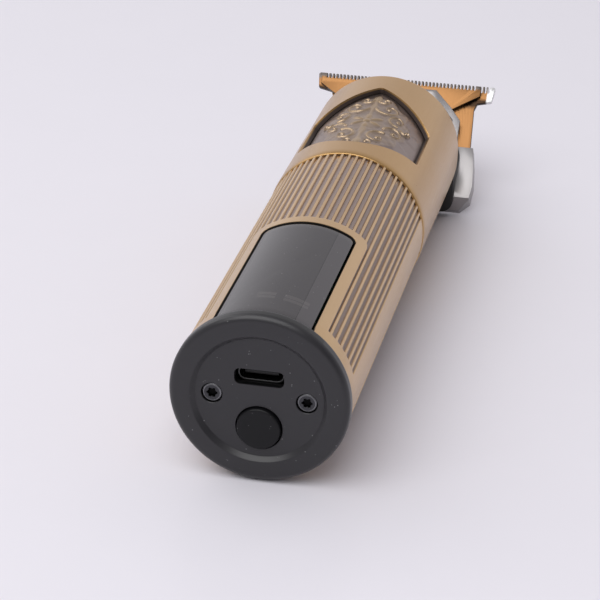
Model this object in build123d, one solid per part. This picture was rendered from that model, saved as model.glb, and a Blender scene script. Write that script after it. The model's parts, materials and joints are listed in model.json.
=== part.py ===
from build123d import *
import math
import os

os.makedirs("parts", exist_ok=True)

# Hair clipper with a T-shaped blade, lying on its back as it rests on a table.
# Millimetres. +Y runs along the body from the end cap to the blades, +X along the blade edge,
# +Z up with the table at Z = 0. The body axis is level, at the height of the cap rim's radius.

# ---------------------------------------------------------------- driving dimensions
# body
barrel_radius = 17.4         # ribbed barrel, outside
barrel_wall = 1.2
barrel_length = 78.9         # from the end cap to the head shell
rim_step = 0.4               # end cap rim proud of the barrel; it rests on the table
collar_step = 0.3            # rear edge of the head shell proud of the barrel
head_taper = 0.3             # head shell, rear radius less front radius
head_length = 49.5
head_wall = 1.3
head_fullness = 0.35         # how square the lower half of the open end is; 0 is round
coupling_overlap = 5.0       # ring inside the joint, into the barrel
coupling_reach = 4.0         # and into the head shell
coupling_wall = 1.5
clearance = 0.05             # between parts that sit against each other
reveal = 0.18                # open gap around the display window
overrun = 5.0                # cutting shapes reach this far past what they cut

# end cap
cap_rim_thickness = 3.1
cap_rim_round = 1.1
cap_rim_width = 4.1          # flat and rounded ring outside the recess
cap_wall_slope = 1.0         # inward run of the sloped wall round the recessed disc
cap_recess = 0.9
cap_disc_thickness = 1.8
cap_spigot_length = 6.0
cap_spigot_wall = 1.6
cap_back_round = 0.3
lens_notch_gap = 0.2         # spigot, each side of the window
gasket_thickness = 0.4
gasket_inset = 0.25

# charging socket
port_width = 9.3
port_height = 3.0
port_rise = 4.34             # above the body axis
port_depth = 7.0
socket_wall = 0.4
socket_mouth_width = 8.5
socket_mouth_height = 2.5
tongue_width = 6.7
tongue_thickness = 0.7
tongue_setback = 0.6
socket_back_wall = 1.0

# cap screws
cap_screw_spacing = 18.64
screw_head_radius = 1.95
screw_head_height = 1.2
screw_head_gap = 0.2
screw_head_sink = 0.25       # below the cap's disc
screw_head_chamfer = 0.25
screw_shank_radius = 1.1
screw_shank_gap = 0.1
cap_screw_reach = 8.0        # past the charging board
star_recess_radius = 1.0
star_recess_depth = 0.7

# power button
button_drop = 6.41           # below the body axis
button_radius = 4.35
button_gap = 0.2
button_flange_width = 0.95
button_flange_thickness = 0.9
button_travel = 0.7
button_round = 0.5
button_boss_width = 0.6
button_boss_height = 0.9
plunger_radius = 1.6
plunger_gap = 0.15
plunger_seat = 0.8           # inside the switch at rest
switch_floor_gap = 0.3
switch_size = 6.2
switch_height = 3.4

# display window and ribs
window_half_angle = 34.6     # degrees each side of the top
window_length = 41.9         # from the end cap along the barrel
window_corner = 1.6
frame_half_angle = 43.2      # plain border round the window, to each side of the top
frame_border = 2.6           # and beyond the end of the window
frame_corner = 2.4
lens_thickness = 1.5
rib_pitch_angle = 5.4        # degrees from groove to groove
rib_groove_width = 0.92
rib_groove_depth = 0.5
rib_setback = 3.9            # plain band between the end cap and the ribs
ribs_each_side = 14          # grooves each side of the top and bottom centre lines

# boards
board_thickness = 1.2
board_edge_gap = 1.0         # charging board to barrel
board_hole_gap = 0.4
board_end_gap = 0.5          # boards and cradle to the coupling ring
display_board_width = 17.0
display_board_gap = 1.0
display_board_depth = 4.8    # board centre below the barrel's bore
display_panel_thickness = 1.1
panel_side_margin = 1.5
panel_rear_margin = 1.0
panel_front_margin = 4.0
main_board_width = 15.0
main_board_length = 46.0
main_board_height = 2.6      # board centre above the barrel's bore, underneath
chip_sizes = (               # place back from the board's front end, width, length, height
    (6.0, 5.0, 5.0, 1.0),
    (15.0, 4.0, 4.0, 0.9),
    (24.0, 5.5, 6.0, 1.2),
    (34.0, 3.0, 5.0, 0.9),
)

# battery
cell_radius = 9.1
cell_round = 0.8
cell_button_radius = 3.0
cell_button_height = 0.8
cell_gap = 9.1               # charging board to cell
cell_wiring_gap = 10.0       # cell to motor
tab_thickness = 0.3
tab_width = 6.0
tab_inset = 2.0              # from the cell's edge
cradle_wall = 1.2
cradle_fin = 2.0
fin_gap = 0.4                # to the barrel
fin_root = 0.3               # into the trough
cradle_boss_wall = 1.3
cradle_boss_gap = 0.5        # to the cell's front tab

# head window and emblem plate
emblem_half_angle = 50.5     # degrees each side of the top
emblem_rear_setback = 5.7    # from the rear edge of the shell, on the centre line
emblem_side_setback = 12.0   # from the rear edge to the straight sides
emblem_side_length = 17.5
emblem_length = 35.6         # on the centre line
emblem_bow_width = 0.55      # where the rear bow passes, as a share of the half width
emblem_bow_rise = 0.38       # and of the way to the straight sides
emblem_corner_growth = 0.4   # how far a corner moves along when the outline grows by one
emblem_lip = 1.2             # plate hidden under the shell all round
emblem_plate_thickness = 1.2
medallion_radius = 9.0
medallion_rise = 0.6

# motor
motor_radius = 10.0
motor_length = 25.0
motor_setback = 14.6         # motor behind the rear edge of the head shell
motor_wall = 0.9
motor_can_round = 0.6
motor_cap_thickness = 2.0
magnet_thickness = 1.3
magnet_split = 4.0
magnet_rear_gap = 4.0
magnet_front_gap = 2.0
rotor_radius = 6.9
rotor_slot_depth = 1.5
rotor_slot_width = 1.2
rotor_rear_gap = 5.0
rotor_front_gap = 3.0
shaft_radius = 1.0
shaft_tail = 0.3
bush_radius = 3.0
bush_neck_radius = 2.0
bush_gap = 0.2
bush_length = 1.6
running_fit = 0.04           # radial, shaft in its bushes
mount_thickness = 2.4
mount_spacer_radius = 9.0
motor_screw_circle = 6.0
motor_screw_radius = 1.0
motor_screw_head_radius = 1.35
motor_screw_head_height = 0.8
terminal_offset = 5.5        # from the body axis, sideways
terminal_drop = 4.0          # and below it
terminal_thickness = 0.5
terminal_width = 2.0
terminal_length = 2.0
lead_radius = 0.45
lead_height = 0.5            # lead's middle above the control board
lead_bend_start = 4.5        # behind the motor
lead_bend_end = 7.5
lead_bend_radius = 1.2
lead_end_setback = 3.0

# eccentric drive
throw = 1.2                  # pin offset, so the blade travels twice this
cam_gap = 1.0                # to the motor's bracket
cam_radius = 4.6
cam_length = 4.0
pin_radius = 1.0
pin_tip_gap = 0.5
slot_play = 0.33             # each side of the pin in the follower's slot
follower_half_width = 3.6
follower_depth = 5.0         # how far its fork reaches along the pin
follower_height = 9.0
follower_length = 9.0        # down the blade plane
follower_offset = 1.2        # its middle, below the body axis down the blade plane
follower_foot = 0.9
follower_room = 0.5          # free space round it at the ends of its stroke

# blades, on a plane that slopes 45 degrees from the cutting edge down to the heel
blade_slope = 45.0
heel_gap = 3.5               # heel of the blade base beyond the open end of the head shell
tip_rise = 5.8               # cutting edge above the body axis
fixed_half_width = 22.2
fixed_corner = 0.4
fixed_bar_depth = 3.9
fixed_bar_taper = 0.5
fixed_flare_width = 0.6      # where the bar runs into the neck
fixed_flare_start = 0.8
fixed_flare_end = 2.5
fixed_neck_half_width = 17.7
fixed_plate_half_width = 18.3
fixed_length = 30.0
fixed_thickness = 1.2
moving_half_width = 20.0
moving_corner = 0.3
moving_bar_depth = 3.2
moving_neck_half_width = 11.7
moving_neck_depth = 8.6
moving_stem_half_width = 8.0
moving_stem_taper = 2.0
moving_length = 15.5
moving_thickness = 1.1
moving_setback = 0.5         # its teeth stop this short of the fixed ones
blade_film = 0.05            # oil gap between sliding blade faces
tooth_pitch = 0.9
tooth_slot = 0.42
tooth_depth = 1.7
tension_tip_half_width = 8.0
tension_tip_slope = 4.4
tension_half_width = 15.0
tension_shoulder = 10.5
tension_start = 2.9
tension_end = 22.0
tension_thickness = 0.8
tension_screw_inset = 4.0    # from the side
tension_screw_setback = 2.5  # from the end
tension_screw_head_radius = 1.9
tension_screw_head_height = 0.6
spacer_gap = 0.8             # to the blade base
base_start = 17.8
base_front_half_width = 19.3
base_half_width = 20.5
base_heel_half_width = 17.75
base_corner_width = 0.5      # how the sides swell, then draw in
base_corner_length = 4.5
base_swell_length = 9.5
base_heel_draw = 0.4
base_heel_corner = 2.2
base_window_side_gap = 0.3
base_window_end_gap = 0.4
base_thickness = 4.2
base_heel_space = 2.3        # between the head's end and the base's heel
blade_screw_spacing = 21.0
blade_screw_along = 26.5     # down the blade plane
blade_screw_head = 2.2
blade_screw_proud = 0.6
blade_screw_reach = 4.0      # into the nose
cross_length = 2.6
cross_width = 0.6
cross_floor = 0.1

# nose behind the blades
nose_drop = 1.6              # its flat top below the shell's inside
nose_crown = 1.0             # its front edge above the body axis
nose_side_gap = 0.4
nose_shoulder_depth = 1.0    # inside the head's end, where it narrows
nose_radius = 13.4
nose_skirt_half_width = 16.4
nose_skirt_top = 3.0         # below the body axis
nose_skirt_rise = 1.3        # above the table
nose_skirt_corner = 3.0
nose_skirt_gap = 0.3
cam_room = 0.6               # round the cam
cam_end_room = 0.8
screw_pocket_gap = 0.6       # round the motor's screw heads
screw_pocket_depth = 1.2

# ---------------------------------------------------------------- worked-out places
rim_radius = barrel_radius + rim_step
button_flange_radius = button_radius + button_flange_width
head_rear_radius = barrel_radius + collar_step
head_front_radius = head_rear_radius - head_taper
axis_height = rim_radius
above_body = 2 * axis_height + overrun
cap_face_radius = rim_radius - cap_rim_width
cap_disc_radius = cap_face_radius - cap_wall_slope
screw_head_at = cap_recess + screw_head_sink
slope = math.radians(blade_slope)
tip_height = axis_height + tip_rise
heel_along_plane = tip_height / math.sin(slope)
barrel_start = cap_rim_thickness + gasket_thickness
barrel_end = barrel_start + barrel_length
head_start = barrel_end
head_end = head_start + head_length
heel_face = head_end + base_heel_space
tip_along = head_end + heel_gap + tip_height / math.tan(slope)
barrel_bore = barrel_radius - barrel_wall
window_half_width = barrel_radius * math.sin(math.radians(window_half_angle))
frame_half_width = barrel_radius * math.sin(math.radians(frame_half_angle))
window_end = barrel_start + window_length
rib_start = barrel_start + rib_setback
coupling_start = barrel_end - coupling_overlap
board_end = coupling_start - board_end_gap
disc_back = cap_recess + cap_disc_thickness
charge_board_at = disc_back + port_depth + clearance
cap_screw_end = charge_board_at + cap_screw_reach
display_board_rise = barrel_bore - display_board_depth
main_board_drop = barrel_bore - main_board_height
emblem_half_width = head_front_radius * math.sin(math.radians(emblem_half_angle))
emblem_rear = head_start + emblem_rear_setback
emblem_shoulder_rear = head_start + emblem_side_setback
emblem_shoulder_front = emblem_shoulder_rear + emblem_side_length
emblem_apex = emblem_rear + emblem_length
emblem_radius = head_front_radius - head_wall - clearance
motor_start = head_start + motor_setback
motor_end = motor_start + motor_length
cell_start = charge_board_at + board_thickness + cell_gap
cell_length = motor_start - cell_wiring_gap - cell_start
cell_button_at = cell_start - cell_button_height
mount_at = motor_end + bush_length
cam_at = mount_at + mount_thickness + cam_gap
moving_floor = fixed_thickness + blade_film
tension_floor = moving_floor + moving_thickness + blade_film
follower_floor = moving_floor + moving_thickness
foot_top = tension_floor + follower_foot
follower_middle = tip_rise / math.sin(slope) + follower_offset
cutter_rest = -throw         # the moving blade is stored at the left end of its stroke
pin_end = tip_along - tip_rise / math.tan(slope) - foot_top / math.cos(slope) - throw - pin_radius
pin_end = pin_end - pin_tip_gap
tension_screw_side = tension_half_width - tension_screw_inset
tension_screw_along = tension_end - tension_screw_setback


# ---------------------------------------------------------------- helpers
def section(y):
    """Plane across the body at y: local X is X, local Y is up, and its origin is on the axis."""
    return Plane(origin=(0, y, axis_height), x_dir=(1, 0, 0), z_dir=(0, -1, 0))


def along(profile, start, end):
    """Cross-section carried along the body from start to end."""
    return extrude(section(end) * profile, amount=end - start)


def rod(radius, start, end, x=0.0, rise=0.0):
    """Round bar parallel to the body axis."""
    return along(Pos(x, rise) * Circle(radius), start, end)


def upright(outline, low, high):
    """Plan outline carried straight up from height low to height high."""
    return extrude(Plane.XY.offset(low) * outline, amount=high - low)


def blade_plane(depth=0.0):
    """Plane of the blades: local X is X, local -Y runs down from the cutting edge, Z is inwards."""
    inward = Vector(0, -math.sin(slope), math.cos(slope))
    edge = Vector(0, tip_along, tip_height)
    return Plane(origin=edge + inward * depth, x_dir=(1, 0, 0), z_dir=tuple(inward))


def plate(outline, low, high):
    """Flat piece in the blade plane, between two depths inwards from the outer face."""
    return extrude(blade_plane(low) * outline, amount=high - low)


def mirrored(points):
    """Closed outline from its right-hand points, listed from front to back."""
    left = [(-x, y) for x, y in reversed(points)]
    return make_face(Polyline(*points, *left, close=True))


def slot_shape(width, height):
    """Rounded slot, width from end to end."""
    return SlotOverall(width, height)


def star_socket(radius, depth, y, x=0.0, rise=0.0):
    """Six-lobed driver recess, cut from y inwards along the body."""
    lobes = Circle(radius * 0.78)
    for place in PolarLocations(radius * 0.76, 6):
        lobes += place * Circle(radius * 0.24)
    return along(Pos(x, rise) * lobes, y, y + depth)


# ---------------------------------------------------------------- end cap group
def end_cap():
    """Dished cap: round rim, sloped wall, recessed disc, and a spigot inside the barrel."""
    rim = rod(rim_radius, 0, cap_rim_thickness)
    rim = fillet(rim.edges().group_by(Axis.Y)[0], cap_rim_round)
    rim = fillet(rim.edges().filter_by(GeomType.CIRCLE).group_by(Axis.Y)[-1], cap_back_round)
    dish = loft([section(0) * Circle(cap_face_radius), section(cap_recess) * Circle(cap_disc_radius)])
    spigot_radius = barrel_bore - clearance
    ring = Circle(spigot_radius) - Circle(spigot_radius - cap_spigot_wall)
    spigot = along(ring, cap_rim_thickness, cap_rim_thickness + cap_spigot_length)
    notch = top_outline(window_half_width + lens_notch_gap, window_end, window_corner)
    spigot -= upright(notch, axis_height, above_body)
    hollow = rod(spigot_radius - cap_spigot_wall, disc_back, cap_rim_thickness + cap_spigot_length)
    body = rim - dish - hollow + spigot
    port = along(Pos(0, port_rise) * slot_shape(port_width, port_height), 0, disc_back)
    button_hole = rod(button_radius + button_gap, 0, disc_back, 0, -button_drop)
    body = body - port - button_hole
    for x in (-cap_screw_spacing / 2, cap_screw_spacing / 2):
        pocket_end = screw_head_at + screw_head_height
        body -= rod(screw_head_radius + screw_head_gap, 0, pocket_end, x)
        body -= rod(screw_shank_radius + screw_shank_gap, 0, disc_back, x)
    return body


def cap_gasket():
    """Thin ring seal between the cap and the barrel."""
    ring = Circle(barrel_radius - gasket_inset) - Circle(barrel_bore - clearance)
    return along(ring, cap_rim_thickness, barrel_start)


def cap_screws():
    """Two star-drive screws through the cap into the battery cradle."""
    screws = []
    for x in (-cap_screw_spacing / 2, cap_screw_spacing / 2):
        head = rod(screw_head_radius, screw_head_at, screw_head_at + screw_head_height, x)
        head = chamfer(head.edges().group_by(Axis.Y)[0], screw_head_chamfer)
        shank = rod(screw_shank_radius, screw_head_at + screw_head_height, cap_screw_end, x)
        star = star_socket(star_recess_radius, star_recess_depth, screw_head_at, x)
        screws.append(head + shank - star)
    return Compound(children=screws)


def usb_shell():
    """Metal shell of the charging socket, closed at the back."""
    outside = slot_shape(socket_mouth_width + 2 * socket_wall, socket_mouth_height + 2 * socket_wall)
    inside = slot_shape(socket_mouth_width, socket_mouth_height)
    end = disc_back + port_depth
    tube = along(Pos(0, port_rise) * outside, disc_back, end)
    return tube - along(Pos(0, port_rise) * inside, disc_back, end - socket_back_wall)


def usb_tongue():
    """Contact tongue in the middle of the charging socket."""
    blade = Pos(0, port_rise) * Rectangle(tongue_width, tongue_thickness)
    return along(blade, disc_back + tongue_setback, disc_back + port_depth - socket_back_wall)


def charge_board():
    """Round circuit board behind the cap, with holes for the cap screws."""
    board = Circle(barrel_bore - board_edge_gap)
    for x in (-cap_screw_spacing / 2, cap_screw_spacing / 2):
        board -= Pos(x, 0) * Circle(screw_shank_radius + board_hole_gap)
    return along(board, charge_board_at, charge_board_at + board_thickness)


def power_button():
    """Round push button with a flange behind the cap disc and a boss to the switch."""
    button = rod(button_radius, 0, disc_back + clearance, 0, -button_drop)
    button = fillet(button.edges().group_by(Axis.Y)[0], button_round)
    flange_back = disc_back + clearance + button_flange_thickness
    flange = rod(button_flange_radius, disc_back + clearance, flange_back, 0, -button_drop)
    boss_end = flange_back + button_boss_height
    boss = rod(plunger_radius + button_boss_width, flange_back, boss_end, 0, -button_drop)
    return button + flange + boss


def switch_plunger():
    """Plunger of the push switch, which travels with the button."""
    start = disc_back + clearance + button_flange_thickness + button_boss_height
    end = charge_board_at - switch_height + plunger_seat
    return rod(plunger_radius, start, end, 0, -button_drop)


def switch_body():
    """Push switch on the charging board, open in front for its plunger."""
    case = Pos(0, -button_drop) * Rectangle(switch_size, switch_size)
    case = along(case, charge_board_at - switch_height, charge_board_at)
    depth = plunger_seat + button_travel + switch_floor_gap
    start = charge_board_at - switch_height
    return case - rod(plunger_radius + plunger_gap, start, start + depth, 0, -button_drop)


# ---------------------------------------------------------------- barrel group
def top_outline(half_width, end, corner):
    """Plan outline of an area on top of the barrel that runs out under the cap rim."""
    start = barrel_start - overrun
    return Pos(0, (start + end) / 2) * RectangleRounded(2 * half_width, end - start, corner)


def rib_grooves():
    """Straight lengthwise grooves above and below, left out under the window's frame."""
    notch = Rectangle(2 * rib_groove_depth, rib_groove_width)
    marks = []
    for middle in (90, 270):
        for i in range(-ribs_each_side, ribs_each_side + 1):
            marks.append(Rot(0, 0, middle + i * rib_pitch_angle) * Pos(barrel_radius, 0) * notch)
    grooves = along(Sketch() + marks, rib_start, barrel_end)
    frame = top_outline(frame_half_width, window_end + frame_border, frame_corner)
    return grooves - upright(frame, axis_height, above_body)


def barrel():
    """Round metal tube with lengthwise ribs, and an opening for the display window."""
    tube = along(Circle(barrel_radius) - Circle(barrel_bore), barrel_start, barrel_end)
    tube -= rib_grooves()
    window = top_outline(window_half_width, window_end, window_corner)
    return tube - upright(window, axis_height, above_body)


def display_lens():
    """Smoked window, curved to the barrel, with a thin gap round it."""
    radius = barrel_radius - clearance
    start = barrel_start + clearance
    curved = along(Circle(radius) - Circle(radius - lens_thickness), start, window_end)
    outline = top_outline(window_half_width - reveal, window_end - reveal, window_corner - reveal)
    return curved & upright(outline, axis_height + overrun, above_body)


def display_board():
    """Circuit board under the window."""
    board = Pos(0, display_board_rise) * Rectangle(display_board_width, board_thickness)
    return along(board, charge_board_at + board_thickness + display_board_gap, window_end)


def display_panel():
    """Lit display module between the board and the window."""
    rise = display_board_rise + board_thickness / 2 + display_panel_thickness / 2
    panel = Pos(0, rise) * Rectangle(display_board_width - 2 * panel_side_margin, display_panel_thickness)
    start = charge_board_at + board_thickness + display_board_gap + panel_rear_margin
    return along(panel, start, window_end - panel_front_margin)


def coupling_ring():
    """Ring inside the joint of barrel and head shell."""
    outside = barrel_bore - clearance
    ring = Circle(outside) - Circle(outside - coupling_wall)
    return along(ring, coupling_start, barrel_end + coupling_reach)


# ---------------------------------------------------------------- battery group
def battery_cell():
    """Round lithium cell with its contact button towards the cap."""
    can = rod(cell_radius, cell_start, cell_start + cell_length)
    can = fillet(can.edges(), cell_round)
    return can + rod(cell_button_radius, cell_button_at, cell_start + cell_button_height)


def battery_tabs():
    """Nickel strips welded to both ends of the cell."""
    strip = Rectangle(tab_width, 2 * (cell_radius - tab_inset))
    front = along(strip, cell_button_at - tab_thickness, cell_button_at)
    rear_at = cell_start + cell_length
    return Compound(children=[front, along(strip, rear_at, rear_at + tab_thickness)])


def cradle_outline():
    """Half-round trough under the cell with a fin out to the barrel on each side."""
    outside = cell_radius + clearance + cradle_wall
    trough = Circle(outside) - Circle(cell_radius + clearance)
    trough -= Pos(0, outside) * Rectangle(4 * outside, 2 * outside - cradle_fin)
    fin_reach = barrel_bore - fin_gap
    fins = Rectangle(2 * fin_reach, cradle_fin) - Rectangle(2 * (outside - fin_root), 2 * cradle_fin)
    return trough + (fins & Circle(fin_reach))


def battery_cradle():
    """Carrier for the cell, with bosses for the cap screws."""
    start = charge_board_at + board_thickness + clearance
    boss_end = cell_button_at - tab_thickness - cradle_boss_gap
    body = along(cradle_outline(), start, board_end)
    for x in (-cap_screw_spacing / 2, cap_screw_spacing / 2):
        body += rod(screw_shank_radius + cradle_boss_wall, start, boss_end, x)
    for x in (-cap_screw_spacing / 2, cap_screw_spacing / 2):
        body -= rod(screw_shank_radius, start, cap_screw_end, x)
    return body


def main_board():
    """Control board under the cell."""
    board = Pos(0, -main_board_drop) * Rectangle(main_board_width, board_thickness)
    return along(board, board_end - main_board_length, board_end)


def board_chips():
    """Chips and coil on the control board."""
    rise = -main_board_drop + board_thickness / 2
    chips = []
    for setback, width, length, height in chip_sizes:
        chip = Pos(0, rise + height / 2) * Rectangle(width, height)
        chips.append(along(chip, board_end - setback - length, board_end - setback))
    return Compound(children=chips)


# ---------------------------------------------------------------- head shell group
def shell_face(y, radius, fullness):
    """Rounded section of the head: a half circle above, squarer below by the fullness."""
    points = []
    count = 32
    for i in range(count):
        turn = 2 * math.pi * i / count
        c = math.cos(turn)
        s = math.sin(turn)
        power = 2.0 + (fullness if s < 0 else 0.0)
        reach = radius / (abs(c) ** power + abs(s) ** power) ** (1 / power)
        points.append((reach * c, reach * s))
    return section(y) * make_face(Spline(*points, periodic=True))


def shell_body(inset):
    """Lofted head form, from the round rear edge to the fuller open end, reduced by inset."""
    steps = 5
    faces = []
    for i in range(steps):
        share = i / (steps - 1)
        radius = head_rear_radius + (head_front_radius - head_rear_radius) * share - inset
        blend = share * share * (3 - 2 * share)
        faces.append(shell_face(head_start + head_length * share, radius, head_fullness * blend))
    return loft(faces)


def emblem_outline(margin):
    """Shield outline of the opening on top of the head, grown by margin."""
    half = emblem_half_width + margin
    rear = (0, emblem_rear - margin)
    bow_reach = (emblem_shoulder_rear - emblem_rear) * emblem_bow_rise
    middle = (half * emblem_bow_width, emblem_rear - margin + bow_reach)
    corner = (half, emblem_shoulder_rear - margin * emblem_corner_growth)
    shoulder = (half, emblem_shoulder_front + margin * emblem_corner_growth)
    apex = (0, emblem_apex + margin)
    bow = ThreePointArc(rear, middle, corner)
    edges = [bow, Line(corner, shoulder), Line(shoulder, apex)]
    half_face = make_face(edges + [Line(apex, rear)])
    return half_face + mirror(half_face, about=Plane.YZ)


def head_shell():
    """Tapered metal shell of the head, with the emblem opening on top."""
    wall = shell_body(0) - shell_body(head_wall)
    return wall - upright(emblem_outline(0), axis_height, above_body)


def emblem_plate():
    """Curved plate recessed in the opening, with a raised round medallion."""
    outline = emblem_outline(emblem_lip)
    start = emblem_rear - overrun
    sheet = along(Circle(emblem_radius) - Circle(emblem_radius - emblem_plate_thickness), start, head_end)
    sheet = sheet & upright(outline, axis_height + overrun, above_body)
    middle = (emblem_rear + emblem_apex) / 2
    top = emblem_radius + medallion_rise
    coin = along(Circle(top) - Circle(emblem_radius - emblem_plate_thickness / 2), start, head_end)
    disc = Pos(0, middle) * Circle(medallion_radius)
    return sheet + (coin & upright(disc, axis_height + overrun, above_body))


# ---------------------------------------------------------------- motor group
def motor_can():
    """Drawn steel can of the motor, open at the rear."""
    can = rod(motor_radius, motor_start, motor_end)
    can = fillet(can.edges().group_by(Axis.Y)[-1], motor_can_round)
    can -= rod(motor_radius - motor_wall, motor_start, motor_end - motor_wall)
    can -= rod(bush_neck_radius, motor_start, motor_end)
    for x in (-motor_screw_circle, motor_screw_circle):
        can -= rod(motor_screw_radius, motor_end - motor_wall, motor_end, x)
    return can


def motor_end_cap():
    """Plastic rear cap of the motor, with a hole for the rear bush."""
    back = motor_start + motor_cap_thickness
    return rod(motor_radius - motor_wall, motor_start, back) - rod(bush_neck_radius, motor_start, back)


def motor_bushes():
    """Sintered bushes at both ends of the motor."""
    bore = shaft_radius + running_fit
    neck = rod(bush_neck_radius, motor_end - motor_wall, motor_end)
    front = neck + rod(bush_radius, motor_end, motor_end + bush_length)
    front -= rod(bore, motor_end - motor_wall, motor_end + bush_length)
    back = motor_start + motor_cap_thickness
    rear = rod(bush_neck_radius, motor_start, back) - rod(bore, motor_start, back)
    return Compound(children=[front, rear])


def motor_magnets():
    """Two curved magnets inside the can."""
    outside = motor_radius - motor_wall - clearance
    arc = Circle(outside) - Circle(outside - magnet_thickness)
    arc -= Rectangle(magnet_split, 3 * outside)
    return along(arc, motor_start + magnet_rear_gap, motor_end - motor_wall - magnet_front_gap)


def motor_rotor():
    """Wound rotor on the shaft."""
    ring = Circle(rotor_radius) - Circle(shaft_radius)
    for place in PolarLocations(rotor_radius, 3, start_angle=30):
        ring -= place * Rectangle(2 * rotor_slot_depth, rotor_slot_width)
    return along(ring, motor_start + rotor_rear_gap, motor_end - motor_wall - rotor_front_gap)


def motor_shaft():
    """Motor shaft, from the rear bush to the cam."""
    return rod(shaft_radius, motor_start - shaft_tail, cam_at + cam_length)


def motor_terminals():
    """Two tags at the rear of the motor."""
    tags = []
    for x in (-terminal_offset, terminal_offset):
        tag = Pos(x, -terminal_drop) * Rectangle(terminal_thickness, terminal_width)
        tags.append(along(tag, motor_start - terminal_length, motor_start))
    return Compound(children=tags)


def motor_leads():
    """Two wires from the motor tags down to the control board."""
    leads = []
    low = axis_height - main_board_drop + board_thickness / 2 + lead_height
    high = axis_height - terminal_drop
    for x in (-terminal_offset, terminal_offset):
        start = (x, motor_start - terminal_length, high)
        turn_one = (x, motor_start - lead_bend_start, high)
        turn_two = (x, motor_start - lead_bend_end, low)
        end = (x, coupling_start - lead_end_setback, low)
        path = FilletPolyline(start, turn_one, turn_two, end, radius=lead_bend_radius)
        leads.append(sweep(Plane(origin=start, z_dir=(0, -1, 0)) * Circle(lead_radius), path=path))
    return Compound(children=leads)


def motor_mount():
    """Round bracket between motor and nose, clear of the emblem plate above it."""
    ring = rod(emblem_radius - emblem_plate_thickness - clearance, mount_at, mount_at + mount_thickness)
    ring -= rod(bush_radius + bush_gap, mount_at, mount_at + mount_thickness)
    spacer = along(Circle(mount_spacer_radius) - Circle(bush_radius + bush_gap), motor_end, mount_at)
    ring += spacer
    for x in (-motor_screw_circle, motor_screw_circle):
        ring -= rod(motor_screw_radius, motor_end, mount_at + mount_thickness, x)
    return ring


def motor_screws():
    """Two screws that hold the motor to its bracket."""
    screws = []
    for x in (-motor_screw_circle, motor_screw_circle):
        end = mount_at + mount_thickness
        shank = rod(motor_screw_radius, motor_end - motor_wall, end, x)
        head = rod(motor_screw_head_radius, end, end + motor_screw_head_height, x)
        screws.append(shank + head)
    return Compound(children=screws)


def eccentric_cam():
    """Disc on the shaft with an offset pin, which swings the moving blade."""
    start = cam_at
    end = cam_at + cam_length
    disc = rod(cam_radius, start, end) - rod(shaft_radius, start, end)
    pin = rod(pin_radius, end, pin_end, cutter_rest, 0)
    return disc + pin


# ---------------------------------------------------------------- blade group
def tooth_row(half_width, depth, setback):
    """Slots between the teeth, across the edge, centred on the blade."""
    count = int(2 * (half_width - tooth_pitch) / tooth_pitch)
    slots = Sketch()
    places = GridLocations(tooth_pitch, 1, count, 1)
    slots += [Pos(0, -setback) * place * Rectangle(tooth_slot, 2 * depth) for place in places]
    return slots


def fixed_blade():
    """Outer T-shaped blade: a wide toothed bar on a plate that is screwed to the base."""
    half = fixed_half_width
    outline = mirrored([
        (half - fixed_corner, 0),
        (half, -fixed_corner),
        (half - fixed_bar_taper, -fixed_bar_depth),
        (fixed_neck_half_width + fixed_flare_width, -fixed_bar_depth - fixed_flare_start),
        (fixed_neck_half_width, -fixed_bar_depth - fixed_flare_end),
        (fixed_plate_half_width, -base_start),
        (fixed_plate_half_width, -fixed_length),
    ])
    blade = plate(outline, 0, fixed_thickness)
    blade -= plate(tooth_row(half, tooth_depth, 0), 0, fixed_thickness)
    for x in (-blade_screw_spacing / 2, blade_screw_spacing / 2):
        hole = Pos(x, -blade_screw_along) * Circle(screw_shank_radius)
        blade -= plate(hole, 0, fixed_thickness)
    return blade


def moving_blade():
    """Inner T-shaped blade that slides across the fixed one."""
    half = moving_half_width
    front = -moving_setback
    outline = mirrored([
        (half - moving_corner, front),
        (half, front - moving_corner),
        (half, -moving_bar_depth),
        (moving_neck_half_width, -moving_neck_depth),
        (moving_stem_half_width, -moving_neck_depth - moving_stem_taper),
        (moving_stem_half_width, -moving_length),
    ])
    outline = Pos(cutter_rest, 0) * outline
    slots = Pos(cutter_rest, 0) * tooth_row(half, tooth_depth - moving_setback, moving_setback)
    blade = plate(outline, moving_floor, moving_floor + moving_thickness)
    return blade - plate(slots, moving_floor, moving_floor + moving_thickness)


def cam_follower():
    """Fork on the moving blade whose slot holds the cam pin."""
    place = Pos(cutter_rest, -follower_middle)
    outline = place * Rectangle(2 * follower_half_width, follower_length)
    foot = plate(outline, follower_floor, foot_top)
    block = plate(outline, follower_floor, follower_floor + 2 * follower_depth)
    back = pin_end + pin_tip_gap - follower_depth
    height = Pos(cutter_rest, 0) * Rectangle(4 * follower_half_width, follower_height)
    block = block & along(height, back, tip_along)
    slot = Pos(cutter_rest, 0) * Rectangle(2 * (pin_radius + slot_play), 2 * follower_height)
    block -= along(slot, back - overrun, tip_along)
    return foot + block


def follower_window():
    """Opening in the tension plate that lets the follower travel."""
    reach = follower_half_width + throw + follower_room
    return Pos(0, -follower_middle) * Rectangle(2 * reach, follower_length + 2 * follower_room)


def tension_plate():
    """Springy tapered plate that holds the moving blade against the fixed one."""
    outline = mirrored([
        (tension_tip_half_width, -tension_start),
        (tension_tip_half_width + tension_tip_slope, -tension_start - tension_tip_slope),
        (tension_half_width, -tension_shoulder),
        (tension_half_width, -tension_end),
    ]) - follower_window()
    for x in (-tension_screw_side, tension_screw_side):
        outline -= Pos(x, -tension_screw_along) * Circle(screw_shank_radius)
    return plate(outline, tension_floor, tension_floor + tension_thickness)


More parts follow.
